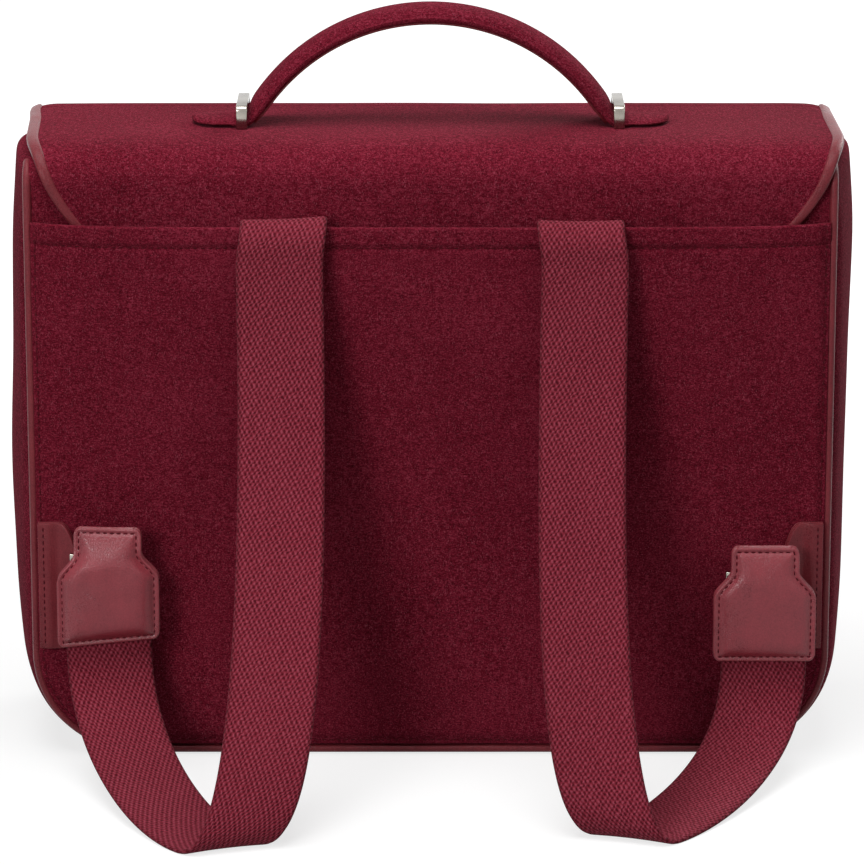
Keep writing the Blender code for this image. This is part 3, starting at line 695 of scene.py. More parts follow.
def lathe(profile, centre, axis):
    """A turned piece: pairs of radius and height spun about an axis through the centre."""
    bm = bmesh.new()
    side = axis.orthogonal().normalized()
    points = [bm.verts.new(Vector(centre) + side * r + axis * h) for r, h in profile]
    edges = [bm.edges.new(pair) for pair in zip(points, points[1:])]
    bmesh.ops.spin(bm, geom=points + edges, cent=centre, axis=axis, angle=math.tau, steps=LATHE_STEPS,
                   use_merge=True)
    bmesh.ops.remove_doubles(bm, verts=bm.verts, dist=MERGE_DISTANCE)
    bmesh.ops.recalc_face_normals(bm, faces=bm.faces)
    return bm


def shares(count):
    """Even steps from 0 to 1."""
    return [k / count for k in range(count + 1)]


def arc(centre, radius, start, end, steps=10):
    """Points on an arc, from one angle in degrees to the other."""
    angles = [math.radians(start + (end - start) * t) for t in shares(steps)]
    return [(centre[0] + radius * math.cos(a), centre[1] + radius * math.sin(a)) for a in angles]


def line(start, end, steps):
    across, up = end[0] - start[0], end[1] - start[1]
    return [(start[0] + across * t, start[1] + up * t) for t in shares(steps)]


def u_path(half, bottom, top, radius, steps):
    """The sides and base of a panel with round lower corners, from the upper left to the upper right."""
    left = arc((-half + radius, bottom + radius), radius, 180, 270, steps)
    right = arc((half - radius, bottom + radius), radius, 270, 360, steps)
    return [(-half, top), *left, *right, (half, top)]


def corner_half(half, radius, below):
    """Half the width of such a panel at a height below the centres of its corners."""
    return half - radius + math.sqrt(max(0.0, radius**2 - max(0.0, below) ** 2))


def bezier(start, pull_start, pull_end, end, steps):
    points = []
    for t in shares(steps):
        s = 1 - t
        points.append(s**3 * start + 3 * s * s * t * pull_start + 3 * s * t * t * pull_end + t**3 * end)
    return points


def ease(value):
    clamped = max(0.0, min(1.0, value))
    return clamped * clamped * (3 - 2 * clamped)


def dent(distance, width):
    """A smooth dip of depth 1 at distance 0."""
    return math.exp(-((distance / width) ** 2))


def bunched(share):
    """From -1 to 1 as share goes from 0 to 1, in steps that shorten towards both ends."""
    return math.sin((share - 0.5) * math.pi)


def index_at(share, points):
    return round(share * (len(points) - 1))


def beside(points, index):
    """The points before and after one in a row, or that point itself where the row ends."""
    return points[max(index - 1, 0)], points[min(index + 1, len(points) - 1)]


def distances_of(points):
    """The length walked along a row of points, up to each of them."""
    walked = [0.0]
    for a, b in zip(points, points[1:]):
        walked.append(walked[-1] + math.dist(a, b))
    return walked


def spaced(points, pitch):
    """Places and directions at even steps along a line of points."""
    found = []
    wanted = pitch / 2
    walked = 0.0
    for a, b in zip(points, points[1:]):
        length = (b - a).length
        while length > 0 and wanted <= walked + length:
            found.append((a.lerp(b, (wanted - walked) / length), (b - a).normalized()))
            wanted += pitch
        walked += length
    return found


def sew(name, rows, outward, body, pitch=STITCH_PITCH, size=STITCH_SIZE):
    """Rows of thread stitches, each a short rounded bar lying on the surface."""
    bm = bmesh.new()
    for row in rows:
        for spot, ahead in spaced(row, pitch):
            side = outward.cross(ahead).normalized()
            out = ahead.cross(side)
            axes = Matrix((ahead * size[0] / 2, side * size[1] / 2, out * size[2] / 2))
            laid = Matrix.Translation(spot) @ axes.transposed().to_4x4()
            bmesh.ops.create_icosphere(bm, subdivisions=1, radius=1.0, matrix=laid)
    piece(name, bm, THREAD, body=body)


def edge_distance(x, z):
    """How far a point of a panel lies inside its outline at the sides and base."""
    beyond = abs(x) - (PANEL_HALF - PANEL_RADIUS)
    below = PANEL_BOTTOM + PANEL_RADIUS - z
    if beyond > 0 and below > 0:
        return PANEL_RADIUS - math.hypot(beyond, below)
    return min(PANEL_HALF - abs(x), z - PANEL_BOTTOM)


def panel_relief(x, z, seed):
    """How far a panel's face lies behind its plane: rolled edge, sewn groove and uneven felt."""
    inside = edge_distance(x, z)
    rolled = EDGE_ROLL * math.exp(-max(0.0, inside) / EDGE_ROLL_WIDTH)
    groove = SEAM_DEPTH * dent(inside - SEAM_INSET, SEAM_WIDTH)
    ripple = noise.noise(Vector((x * PANEL_UNEVEN_SCALE, seed, z * PANEL_UNEVEN_SCALE)))
    return rolled + groove + UNEVEN * ripple


def pocket_face(x, z):
    """The pocket panel's outer face, which swells towards its mouth."""
    across = 1 - abs(x / PANEL_HALF) ** POCKET_BULGE_SQUARENESS
    rise = ease((z - POCKET_BULGE_START) / (POCKET_MOUTH - POCKET_BULGE_START))
    over_hem = POCKET_MOUTH - z
    groove = HEM_GROOVE * dent(over_hem - HEM, HEM_GROOVE_WIDTH)
    hem = HEM_SWELL * (ease((HEM - over_hem) / HEM_EASE) - groove)
    return POCKET_FACE - POCKET_BULGE * across * rise - hem + panel_relief(x, z, POCKET_SEED)


def fold_reach(lean):
    """How far the back fold has come forwards, where lean is the cosine of its angle."""
    turned = 1 - lean
    return FLAP_BACK_FOLD * turned + FLAP_FOLD_EASE * turned**3


def back_fold(angle):
    """A point of the flap's inner face on its back fold, from upright at 0 degrees to level at 90."""
    turn = math.radians(angle)
    return FLAP_BACK_Y + fold_reach(math.cos(turn)), PANEL_TOP + FLAP_BACK_FOLD * math.sin(turn)


def back_face(x, z):
    """The back panel's outer face, which leans in under the flap's fold at its top."""
    over = max(0.0, z - PANEL_TOP) / FLAP_BACK_FOLD
    return BACK_Y + fold_reach(math.sqrt(1 - over * over))


def front_face(x, z):
    return FRONT_Y - panel_relief(x, z, FRONT_SEED)


def sag_share(x, below):
    """How much of the sag of a panel's top edge shows at x, and at a distance below that edge."""
    return (1 - (x / PANEL_HALF) ** 2) * ease((SAG_REACH - below) / SAG_REACH)


def panel(name, node, face, top, sag, side):
    """A felt panel with round lower corners, its outer face given by face(x, z)."""
    middle = PANEL_BOTTOM + PANEL_RADIUS
    corner = [z for _, z in arc((0, middle), PANEL_RADIUS, 270, 360, 14)]
    rise = top - HEM_ZONE - corner[-1]
    body = [corner[-1] + rise * t for t in shares(26)[1:]]
    hem = [body[-1] + HEM_ZONE * t for t in shares(16)[1:]]
    heights = corner + body + hem

    def place(u, v):
        z = heights[index_at(v, heights)]
        x = corner_half(PANEL_HALF, PANEL_RADIUS, middle - z) * bunched(u)
        return Vector((x, face(x, z), z - sag * sag_share(x, top - z)))

    obj = piece(name, cloth(72, len(heights) - 1, place), WOOL, [node], "case")
    thicken(obj, FELT, side)
    soften(obj)


def seam_line(face, lift):
    """The line of stitches round a panel's sides and base."""
    half, radius = PANEL_HALF - SEAM_INSET, PANEL_RADIUS - SEAM_INSET
    path = u_path(half, PANEL_BOTTOM + SEAM_INSET, PANEL_TOP - SEAM_END, radius, 40)
    return [Vector((x, face(x, z) + lift, z)) for x, z in path]


def panels():
    """Pocket, back and front panels with their seams, the piping and the gusset."""
    panel("pocket", "pocket_panel", pocket_face, POCKET_MOUTH, MOUTH_SAG, -1)
    panel("back", "back_panel", back_face, PANEL_TOP + BACK_PANEL_OVER, 0.0, -1)
    panel("front", "front_panel", front_face, PANEL_TOP, 0.0, 1)
    lift = STITCH_SIZE[2] / 4
    seam_top = POCKET_MOUTH - SEAM_BELOW_MOUTH
    back_seam = [spot for spot in seam_line(pocket_face, -lift) if spot.z < seam_top]
    hem_z = POCKET_MOUTH - HEM
    hem_seam = []
    for t in shares(80):
        x = (PANEL_HALF - HEM_SEAM_INSET) * (2 * t - 1)
        drop = MOUTH_SAG * sag_share(x, HEM)
        hem_seam.append(Vector((x, pocket_face(x, hem_z) - lift, hem_z - drop)))
    sew("pocket_stitches", [back_seam, hem_seam], TO_BACK, "case")
    sew("front_stitches", [seam_line(front_face, lift)], TO_FRONT, "case")
    over = []
    for t in shares(8)[1:]:
        y, z = back_fold(PIPING_OVER * t)
        over.append((y + GAP + PIPING_DIP * t, z - PIPING_DIP * t))
    piping("back_edge", "back_piping", BACK_Y, over)
    piping("front_edge", "front_piping", FRONT_Y, [])
    gusset()


def piping(name, node, y, ends):
    """A leather-covered cord round a panel's edge, whose two ends go on through pairs of Y and Z."""
    half = PANEL_WIDTH / 2 - CORD_INSET
    path = u_path(half, PIPING_RADIUS + GAP, PANEL_TOP, CORNER_RADIUS - PIPING_RADIUS, 24)
    route = [Vector((-half, *spot)) for spot in reversed(ends)]
    route += [Vector((x, y, z)) for x, z in path]
    route += [Vector((half, *spot)) for spot in ends]
    rings = []
    for i, spot in enumerate(route):
        before, after = beside(route, i)
        ahead = (after - before).normalized()
        out = Vector((ahead.z, 0, -ahead.x)).normalized()
        other = out.cross(ahead)
        rings.append([spot + out * b + other * a for a, b in arc((0, 0), CORD_RADIUS, 0, 330, 11)])
    piece(name, loft(rings), EDGE_LEATHER, [node], "case", CREASE)


def gusset():
    """One felt band for both sides and the base, bowed out, its ends rolled in under the flap."""
    half_depth = FRONT_Y - PIPING_RADIUS - GAP
    half = PANEL_WIDTH / 2 - GAP
    roll = GUSSET_ROLL
    turn = u_path(half, 0, GUSSET_TOP, CORNER_RADIUS - GAP, 16)[1:-1]
    middle = len(turn) // 2
    side = line(turn[-1], (half, GUSSET_TOP - roll), 18)[1:]
    over = arc((half - roll, GUSSET_TOP - roll), roll, 0, 90, 8)[1:]
    lap = line((half - roll, GUSSET_TOP), (half - roll - GUSSET_LAP, GUSSET_TOP), 3)[1:]
    right = side + over + lap
    left = [(-x, z) for x, z in reversed(right)]
    base = line(turn[middle - 1], turn[middle], 12)[1:-1]
    path = [*left, *turn[:middle], *base, *turn[middle:], *right]

    def place(u, v):
        index = index_at(u, path)
        (x0, z0), (x1, z1) = beside(path, index)
        out = Vector((z1 - z0, 0, x0 - x1)).normalized()
        t = bunched(v)
        x, z = path[index]
        flank = "left" if x < 0 else "right"
        full = GUSSET_FULLNESS[flank] * dent(z - GUSSET_FULL_AT[flank], GUSSET_FULL_REACH[flank])
        drawn = GUSSET_CORNER_DRAW * dent(z - GUSSET_CORNER_AT, GUSSET_CORNER_REACH)
        bow = (GUSSET_BULGE + full - drawn) * (1 - t * t)
        spot = Vector((x * UNEVEN_SCALE, t * GUSSET_UNEVEN_ACROSS, z * UNEVEN_SCALE))
        soft = UNEVEN * noise.noise(spot)
        tuck = GUSSET_TUCK * dent(1 - abs(t), GUSSET_TUCK_SHARE)
        drop = (GUSSET_FRONT_DROP if t > 0 else GUSSET_BACK_DROP) * t * t
        near_top = ease((z - GUSSET_TOP + GUSSET_SLOPE) / GUSSET_SLOPE)
        bowed = x + out.x * (bow + soft - tuck)
        narrowed = bowed - math.copysign(GUSSET_NARROWING * near_top, x)
        return Vector((narrowed, t * half_depth, z - drop * near_top))

    obj = piece("side_band", cloth(len(path) - 1, 24, place), WOOL, ["gusset"], "case")
    thicken(obj, FELT, 1)
    soften(obj)


def lining():
    """An open bag of lining cloth, and the finish of the stiffening boards."""
    outline = u_path(PANEL_HALF, LINING_BOTTOM, LINING_TOP + LINING_ROUNDING, PANEL_RADIUS, 12)
    middle = (LINING_FRONT_Y + LINING_BACK_Y) / 2
    bm = plate(outline, LINING_FRONT_Y - LINING_BACK_Y, AXES_XZ, (0, middle, 0), LINING_ROUNDING)
    lid = [face for face in bm.faces if face.calc_center_median().z > LINING_TOP]
    bmesh.ops.delete(bm, geom=lid, context="FACES")
    obj = piece("lining_bag", bm, LINING_CLOTH, ["lining"], "case", LINING_CREASE)
    thicken(obj, LINING, -1)
    boards = {"base_board": FIBRE_BOARD, "back_board": FIBRE_BOARD, "flap_board": LINING_CLOTH}
    for node, material in boards.items():
        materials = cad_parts[node].data.materials
        materials.clear()
        materials.append(material)


def flap_half(side, distance, reach):
    """Half the flap's width on one side, at a distance past the pocket's mouth."""
    taper = FLAP_TAPER[side] * max(0.0, 1 - distance / FLAP_TAPER_LENGTH) ** 2
    return FLAP_HALF_WIDTH - taper - FLAP_WIDENING[side] * (1 - distance / reach)


def section_normal(section, index):
    """The way out of the flap at a point of its section, as a pair along Y and Z."""
    (y0, z0), (y1, z1) = beside(section, index)
    return Vector((z0 - z1, y1 - y0)).normalized()


def curl(x, y, z, half):
    """How far the flap turns in near its side edges, where it runs into the front fold."""
    beyond = max(0.0, abs(x) - half + FLAP_CURL_WIDTH) / FLAP_CURL_WIDTH
    near = ease((y - FLAP_CURL_FROM) / (FLAP_CURL_TO - FLAP_CURL_FROM))
    above = ease((z - FLAP_LEAF_TOP) / FLAP_FRONT_FOLD)
    return FLAP_CURL * beyond * beyond * near * above


def bound_edge(sign, half, y, z, out):
    """A place on the flap's bound edge with the ways in and out of it."""
    turned = curl(half, y, z, half)
    slope = 2 * turned / FLAP_CURL_WIDTH
    inward = Vector((-sign, out.x * slope, out.y * slope)).normalized()
    outward = Vector((sign * slope, out.x, out.y)).normalized()
    return Vector((sign * half, y - out.x * turned, z - out.y * turned)), inward, outward


def flap_felt(name, nodes, section, halves):
    """A stretch of the flap along its inner section, thickened outwards, with its bound edges left free."""

    def place(u, v):
        index = index_at(v, section)
        y, z = section[index]
        bound = halves["left" if u < 0.5 else "right"][index]
        half = bound - BINDING_WIDTH * BINDING_COVER
        x = half * bunched(u)
        spot = Vector((x * UNEVEN_SCALE, y * UNEVEN_SCALE, z * UNEVEN_SCALE + FLAP_SEED))
        soft = UNEVEN * 0.5 * (1 + noise.noise(spot))
        out = section_normal(section, index)
        lift = FELT + soft * ease((half - abs(x)) / FLAP_SOFT_EDGE) - curl(x, y, z, bound)
        return Vector((x, y + out.x * lift, z + out.y * lift))

    obj = piece(name, cloth(56, len(section) - 1, place), WOOL, nodes)
    thicken(obj, FELT, -1)
    soften(obj)
    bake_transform(obj)
    return obj


def squared(value):
    """Draws the points of a circle out towards a square with round corners."""
    return math.copysign(abs(value) ** BINDING_SQUARENESS, value)


def bind(name, nodes, spine):
    """Leather wrapped over an edge: spine holds places on the felt's inner face, ways in and ways out."""
    rings = []
    wide, tall = BINDING_WIDTH, FELT + BINDING_LEATHER
    for spot, inward, out in spine:
        middle = spot + inward * wide / 2 + out * tall / 2
        ring = []
        for a, b in arc((0, 0), 1, 0, 337.5, 15):
            ring.append(middle + inward * (squared(a) * wide / 2) + out * (squared(b) * tall / 2))
        rings.append(ring)
    obj = piece(name, loft(rings), EDGE_LEATHER, nodes, crease=LEATHER_CREASE)
    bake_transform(obj)


def flap():
    """The flap: one stretch from the pocket over the top, and one over the front fold and down."""
    tuck = (FLAP_BACK_Y, POCKET_MOUTH - FLAP_TUCK)
    back_top = (FLAP_BACK_Y, PANEL_TOP)
    inner_top = FLAP_TOP - FELT
    fold = [back_fold(90 * t) for t in shares(12)]
    front_edge = FLAP_FRONT_Y - FLAP_FRONT_FOLD
    joint = front_edge - FLAP_JOINT
    over = [*line(fold[-1], (joint - FLAP_JOINT_LIP, inner_top), 14), (joint, inner_top)]
    cover = [*line(tuck, back_top, 8), *fold[1:], *over[1:]]
    walked = distances_of(cover)
    reach = walked[-1] - FLAP_TUCK
    halves = {}
    for side in SIDES:
        halves[side] = [flap_half(side, distance - FLAP_TUCK, reach) for distance in walked]
    cover_felt = flap_felt("flap_cover", ["flap_back", "flap_top"], cover, halves)
    for side, sign in SIDES.items():
        spine = []
        for index, (y, z) in enumerate(cover):
            spine.append(bound_edge(sign, halves[side][index], y, z, section_normal(cover, index)))
        nodes = ["flap_back_binding_" + side, "flap_top_binding_" + side]
        bind("cover_binding_" + side, nodes, spine)
    flap_front(front_edge, joint, inner_top)


def flap_front(front_edge, joint, inner_top):
    """The front fold and the leaf that hangs down the front, with its binding and snaps."""
    lip = [(joint, inner_top), (joint + FLAP_JOINT_LIP, inner_top)]
    fold = arc((front_edge, FLAP_LEAF_TOP), FLAP_FRONT_FOLD, 90, 0, 8)
    radius = FLAP_CORNER_RADIUS
    middle = FLAP_LEAF_TOP - FLAP_FRONT_DROP + radius
    corner = [(FLAP_FRONT_Y, z) for _, z in reversed(arc((0, middle), radius, 270, 360, 12))]
    leaf = [*lip, *fold, *line((FLAP_FRONT_Y, FLAP_LEAF_TOP), corner[0], 12)[1:], *corner[1:]]
    walked = distances_of(leaf)
    halves = [corner_half(FLAP_HALF_WIDTH, radius, middle - z) for _, z in leaf]
    obj = flap_felt("flap_leaf", ["flap_front"], leaf, {side: halves for side in SIDES})
    spine = []
    for sign, rows in ((-1, range(len(leaf))), (1, reversed(range(len(leaf))))):
        for index in rows:
            y, z = leaf[index]
            spot, inward, out = bound_edge(sign, halves[index], y, z, section_normal(leaf, index))
            if z < middle:
                centre = Vector((sign * (FLAP_HALF_WIDTH - radius), FLAP_FRONT_Y, middle))
                inward = (centre - spot).normalized()
                out = TO_FRONT
            spine.append((spot, inward, out))
    bind("leaf_binding", ["flap_front_binding"], spine)
    for side in SIDES:
        snap_half("socket", side, FRONT_Y + GAP, TO_FRONT, "case")
        snap_half("stud", side, FLAP_FRONT_Y - GAP, TO_BACK, "flap_front")


def snap_half(kind, side, y, axis, body):
    """One half of a magnetic snap: a disc with a round edge and a shallow well."""
    r, t, rim = SNAP_RADIUS, SNAP_THICKNESS[kind], SNAP_RIM[kind]
    outer, inner = SNAP_WELL[kind]
    well = t - SNAP_WELL_DEPTH[kind]
    disc = [(0, 0), (r - SNAP_EDGE, 0), (r, SNAP_EDGE), (r, t - rim), (r - rim, t)]
    profile = [*disc, (r * outer, t), (r * inner, well), (0, well)]
    bm = lathe(profile, (SIDES[side] * SNAP_SPACING / 2, y, SNAP_Z), axis)
    name = kind + "_" + side
    piece(name, bm, NICKEL, ["snap_" + name], body, SNAP_CREASE)


def handle_line(x):
    """Height of the handle's middle line at x: an arc between the loops, flat beyond its foot."""
    drop = HANDLE_RADIUS - math.sqrt(max(0.0, HANDLE_RADIUS**2 - x * x))
    above = HANDLE_CROWN - HANDLE_AXIS_Z - drop
    soft = HANDLE_END_THICKNESS / 2
    return HANDLE_AXIS_Z + (above + math.sqrt(above * above + soft * soft)) / 2


def handle_frame(x):
    """A point of the handle's middle line and the way out of its upper face."""
    slope = (handle_line(x + GAP) - handle_line(x - GAP)) / (2 * GAP)
    return Vector((x, 0, handle_line(x))), Vector((-slope, 0, 1)).normalized()


def handle_section(thickness, width):
    """The handle's section: a flat flange below, with a padded dome over it."""
    flange = HANDLE_FLANGE * thickness / HANDLE_THICKNESS
    half, low = width / 2, -thickness / 2
    dome_half = half - HANDLE_DOME_INSET * width / HANDLE_WIDTH
    dome_low, dome_rise = low + flange, thickness - flange
    dome = [(dome_half * a, dome_low + dome_rise * b) for a, b in arc((0, 0), 1, 0, 180, 18)]
    rim = min(HANDLE_EDGE_ROUND, flange * HANDLE_EDGE_SHARE)
    edge = arc((half - rim, low + rim), rim, 270, 360, 4)
    right = [*edge, (half, low + flange * HANDLE_FLANGE_SIDE)]
    left = [(-a, b) for a, b in reversed(right)]
    return right + dome + left


def handle_thickness(x):
    """The handle's thickness off its middle: flattened in the loop and thinner in its tongue."""
    loop_near, loop_far = LOOP_X - LOOP_BAND / 2, LOOP_X + LOOP_BAND / 2
    squeeze = ease((x - loop_near + HANDLE_SQUEEZE) / HANDLE_SQUEEZE)
    thin = ease((x - loop_far) / HANDLE_THINNING)
    flattened = HANDLE_THICKNESS + (HANDLE_END_THICKNESS - HANDLE_THICKNESS) * squeeze
    return flattened + (HANDLE_TONGUE - HANDLE_END_THICKNESS) * thin


def handle_half(side, sign):
    """Half of the handle, from the crown of the arch to its flattened tip under the loop."""
    rings = []
    for t in shares(90):
        x = HANDLE_TIP * t
        short = max(0.0, 1 - (HANDLE_TIP - x) / (HANDLE_WIDTH / 2))
        width = HANDLE_WIDTH * max(HANDLE_TIP_SHARE, math.sqrt(max(0.0, 1 - short * short)))
        spot, out = handle_frame(x)
        ring = []
        for a, b in handle_section(handle_thickness(x), width):
            point = spot + Vector((0, a, 0)) + out * b
            ring.append(Vector((sign * point.x, point.y, max(point.z, FLAP_TOP + GAP))))
        rings.append(ring)
    nodes = ["handle_end_" + side] + (["handle_grip"] if sign > 0 else [])
    obj = piece("handle_" + side, loft(rings), WOOL, nodes, crease=HANDLE_CREASE)
    bend_handle(obj)


def handle():
    """The arched handle, its leather underlay and the metal loops that hold its ends."""
    for side, sign in SIDES.items():
        handle_half(side, sign)
        handle_loop(side, sign)
        underlay(side, sign)


def underlay(side, sign):
    """Half of the leather strip sewn under the handle, from the crown of the arch to its foot."""

    def under(u, v):
        x = u * UNDERLAY_HALF_SPAN
        spot, out = handle_frame(sign * x)
        under_face = spot - out * handle_thickness(x) / 2
        under_face.z = max(under_face.z, FLAP_TOP + GAP + UNDERLAY)
        return under_face + Vector((0, sign * (v - 0.5) * UNDERLAY_WIDTH, 0))

    nodes = ["handle_underlay"] if sign > 0 else []
    strip = piece("underlay_" + side, cloth(40, 4, under), EDGE_LEATHER, nodes, crease=CREASE)
    thicken(strip, UNDERLAY, -1)
    bend_handle(strip)


def bend_handle(obj):
    """Bakes the placement of a half of the handle, or of its underlay, into its mesh."""
    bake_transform(obj)


def handle_loop(side, sign):
    """A flat nickel band over the handle's end, with its feet on the flap."""
    low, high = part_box("handle_loop_" + side)
    half, metal = high.y, LOOP_METAL
    round_y, round_z = half - LOOP_ROUNDING, high.z + LOOP_RISE - LOOP_ROUNDING

    def arch(radius):
        return arc((-round_y, round_z), radius, 180, 90, 6) + arc((round_y, round_z), radius, 90, 0, 6)

    outside = [(-half, low.z), *arch(LOOP_ROUNDING), (half, low.z)]
    inside = [(metal - half, low.z), *arch(LOOP_ROUNDING - metal), (half - metal, low.z)]
    band = [*outside, *reversed(inside)]
    bm = plate(band, LOOP_BAND, AXES_YZ, (sign * LOOP_X, 0, 0), LOOP_BEVEL)
    piece("loop_" + side, bm, NICKEL, ["handle_loop_" + side], "flap_top", CREASE)


def strap_points(side, sign):
    """The strap from its sewn root over the pocket's mouth, down to the floor and up into its tab.

    Gives its points and, for each of them, how far the strap is turned about the upright.
    """
    radius = STRAP_FOLD_RADIUS
    x = sign * STRAP_X[side]
    sewn = Vector((x, BACK_Y - GAP - WEBBING / 2, POCKET_MOUTH - STRAP_TUCK))
    stands = Vector((x, RIM_Y + radius, POCKET_MOUTH - FLAP_TUCK - radius))
    climb = bezier(sewn, sewn + UP * radius * 2, stands - UP * radius * 2, stands, 10)
    fold = [Vector((x, y, z)) for y, z in arc((RIM_Y, STRAP_TOP - radius), radius, 0, 90, 6)]
    for t in shares(10)[1:]:
        turn = math.pi / 2 * t
        y = RIM_Y - STRAP_FOLD_REACH * math.sin(turn)
        fold.append(Vector((x, y, STRAP_TOP - STRAP_FOLD_FALL * (1 - math.cos(turn)))))
    lean = Vector((sign * ARM_SPREAD, -ARM_LEAN, -1)).normalized()
    bend = Vector((sign * BEND_X[side], BACK_Y - BEND_REACH[side], WEBBING / 2 + GAP))
    plan = Vector((sign, 1, 0)).normalized()
    base = Vector((sign * TAB_X[side], WEB_Y, TAB_BOTTOM[side] - STRAP_BELOW_TAB))
    front = bezier(fold[-1], fold[-1] + lean * ARM_PULL, bend - plan * BEND_PULL, bend, STRAP_FRONT_STEPS)
    rear = bezier(bend, bend + plan * BEND_PULL, base - UP * TAB_PULL, base, STRAP_REAR_STEPS)
    inside = [base + UP * (STRAP_BELOW_TAB + STRAP_IN_TAB) * t for t in shares(4)[1:]]
    points = climb + fold + front[1:] + rear[1:] + inside
    yaws = [0] * (len(climb) + len(fold))
    yaws += [BEND_TURN * ease(2 * t - 1) for t in shares(STRAP_FRONT_STEPS)[1:]]
    yaws += [BEND_TURN * (1 - ease(t)) for t in shares(STRAP_REAR_STEPS)[1:]]
    yaws += [0] * len(inside)
    return points, [-sign * yaw for yaw in yaws]


def strap(side, sign):
    """One webbing strap as a ribbon with its weave along it."""
    points, yaws = strap_points(side, sign)

    def place(u, v):
        index = index_at(v, points)
        inner = 0 < index < len(points) - 1
        ahead = points[index + 1] - points[index - 1] if inner else UP
        turn = math.radians(yaws[index])
        across = Vector((math.cos(turn), math.sin(turn), 0))
        out = ahead.cross(across).normalized()
        t = 2 * u - 1
        near_top = ease((points[index].z - STRAP_TOP + STRAP_LIFT_REACH) / STRAP_LIFT_REACH)
        moved = Vector((-sign * STRAP_TOP_SHIFT, 0, STRAP_LIFT[side] + STRAP_TILT[side] * t)) * near_top
        return points[index] + across * t * WEBBING_WIDTH / 2 + out * WEBBING_CUP * t * t + moved

    bm = cloth(14, len(points) - 1, place, WEBBING_WIDTH, distances_of(points))
    obj = piece("webbing_" + side, bm, COTTON, ["strap_" + side, "strap_root_" + side])
    thicken(obj, WEBBING, 0)
    soften(obj)
    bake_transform(obj)


def tab_half(z):
    """Half the width of the bottle-shaped leather tab at a height above its lower edge."""
    lower = TAB_HEIGHT - TAB_NECK - TAB_SHOULDER
    share = ease((z - lower + TAB_SHOULDER_EASE) / (TAB_SHOULDER + 2 * TAB_SHOULDER_EASE))
    half = TAB_WIDTH / 2 + (TAB_NECK_WIDTH - TAB_WIDTH) / 2 * share
    end = min(z, TAB_HEIGHT - z)
    if end < TAB_ROUNDING:
        half -= TAB_ROUNDING - math.sqrt(max(0.0, TAB_ROUNDING**2 - (TAB_ROUNDING - end) ** 2))
    return half


def tab_leaf(name, node, side, face_y, facing, pillow, leather):
    """One leather leaf of a tab, swollen over the strap's end, with a sewn groove."""
    sign = SIDES[side]

    def swell(x, z):
        inside = max(0.0, min((tab_half(z) - abs(x)) * TAB_SIDE_SLOPE, z, TAB_HEIGHT - z))
        rise = max(0.0, inside - TAB_STITCH_INSET) / TAB_PILLOW_RISE
        edge = TAB_EDGE_ROUND * math.exp(-inside / TAB_EDGE_ROUND)
        groove = TAB_GROOVE * dent(inside - TAB_STITCH_INSET, TAB_GROOVE_WIDTH)
        spot = Vector((x * TAB_UNEVEN_SCALE, sign * TAB_SEED, z * TAB_UNEVEN_SCALE))
        uneven = TAB_UNEVEN * noise.noise(spot)
        shoulder = TAB_SHOULDER_SWELL[side] * ease((TAB_HEIGHT - z) / TAB_NECK_BEND)
        body = pillow + shoulder if pillow else 0.0
        return body * (1 - math.exp(-(rise**TAB_PILLOW_POWER))) - groove - edge + uneven

    def set_in(x, z):
        rise = TAB_SHEAR[side] * x * (1 - z / TAB_HEIGHT)
        bent = max(0.0, z - TAB_HEIGHT + TAB_NECK_BEND) / TAB_NECK_BEND
        lean = TAB_NECK_LEAN[side] * bent - TAB_NECK_TURN[side] * x * ease(2 * bent)
        if facing > 0:
            lean = max(0.0, lean - TAB_NECK_SLACK)
        y = face_y + facing * swell(x, z) + lean
        return Vector((sign * TAB_X[side] + x, y, TAB_BOTTOM[side] + z + rise))

    def place(u, v):
        z = TAB_HEIGHT * (1 - math.cos(v * math.pi)) / 2
        return set_in(tab_half(z) * bunched(u), z)

    obj = piece(name, cloth(40, 56, place), LEATHER, [node], "strap_" + side)
    thicken(obj, leather, facing)
    soften(obj)
    inset = TAB_STITCH_INSET
    heights = [inset + (TAB_HEIGHT - 2 * inset) * t for t in shares(60)]
    right = [(tab_half(z) - inset / TAB_SIDE_SLOPE, z) for z in heights]
    left = [(-x, z) for x, z in reversed(right)]
    outward = TO_FRONT * facing
    outline = [set_in(x, z) + outward * LEATHER_STITCH_LIFT for x, z in [*right, *left, right[0]]]
    sew(name + "_stitches", [outline], outward, "strap_" + side, LEATHER_STITCH_PITCH, TAB_STITCH_SIZE)


def tab(side, sign):
    """The two leather leaves at the strap's lower end, and the hook between them."""
    outer_y = TAB_FRONT_Y - TAB_FRONT_LEAF / 2
    inner_y = TAB_BACK_Y + TAB_BACK_LEAF / 2
    tab_leaf("tab_outer_" + side, "tab_front_" + side, side, outer_y, -1, TAB_PILLOW, TAB_FRONT_LEAF)
    tab_leaf("tab_inner_" + side, "tab_back_" + side, side, inner_y, 1, 0.0, TAB_BACK_LEAF)
    hook(side, (sign * TAB_X[side], HOOK_Y, TAB_BOTTOM[side] + TAB_HEIGHT - HOOK_DROP))


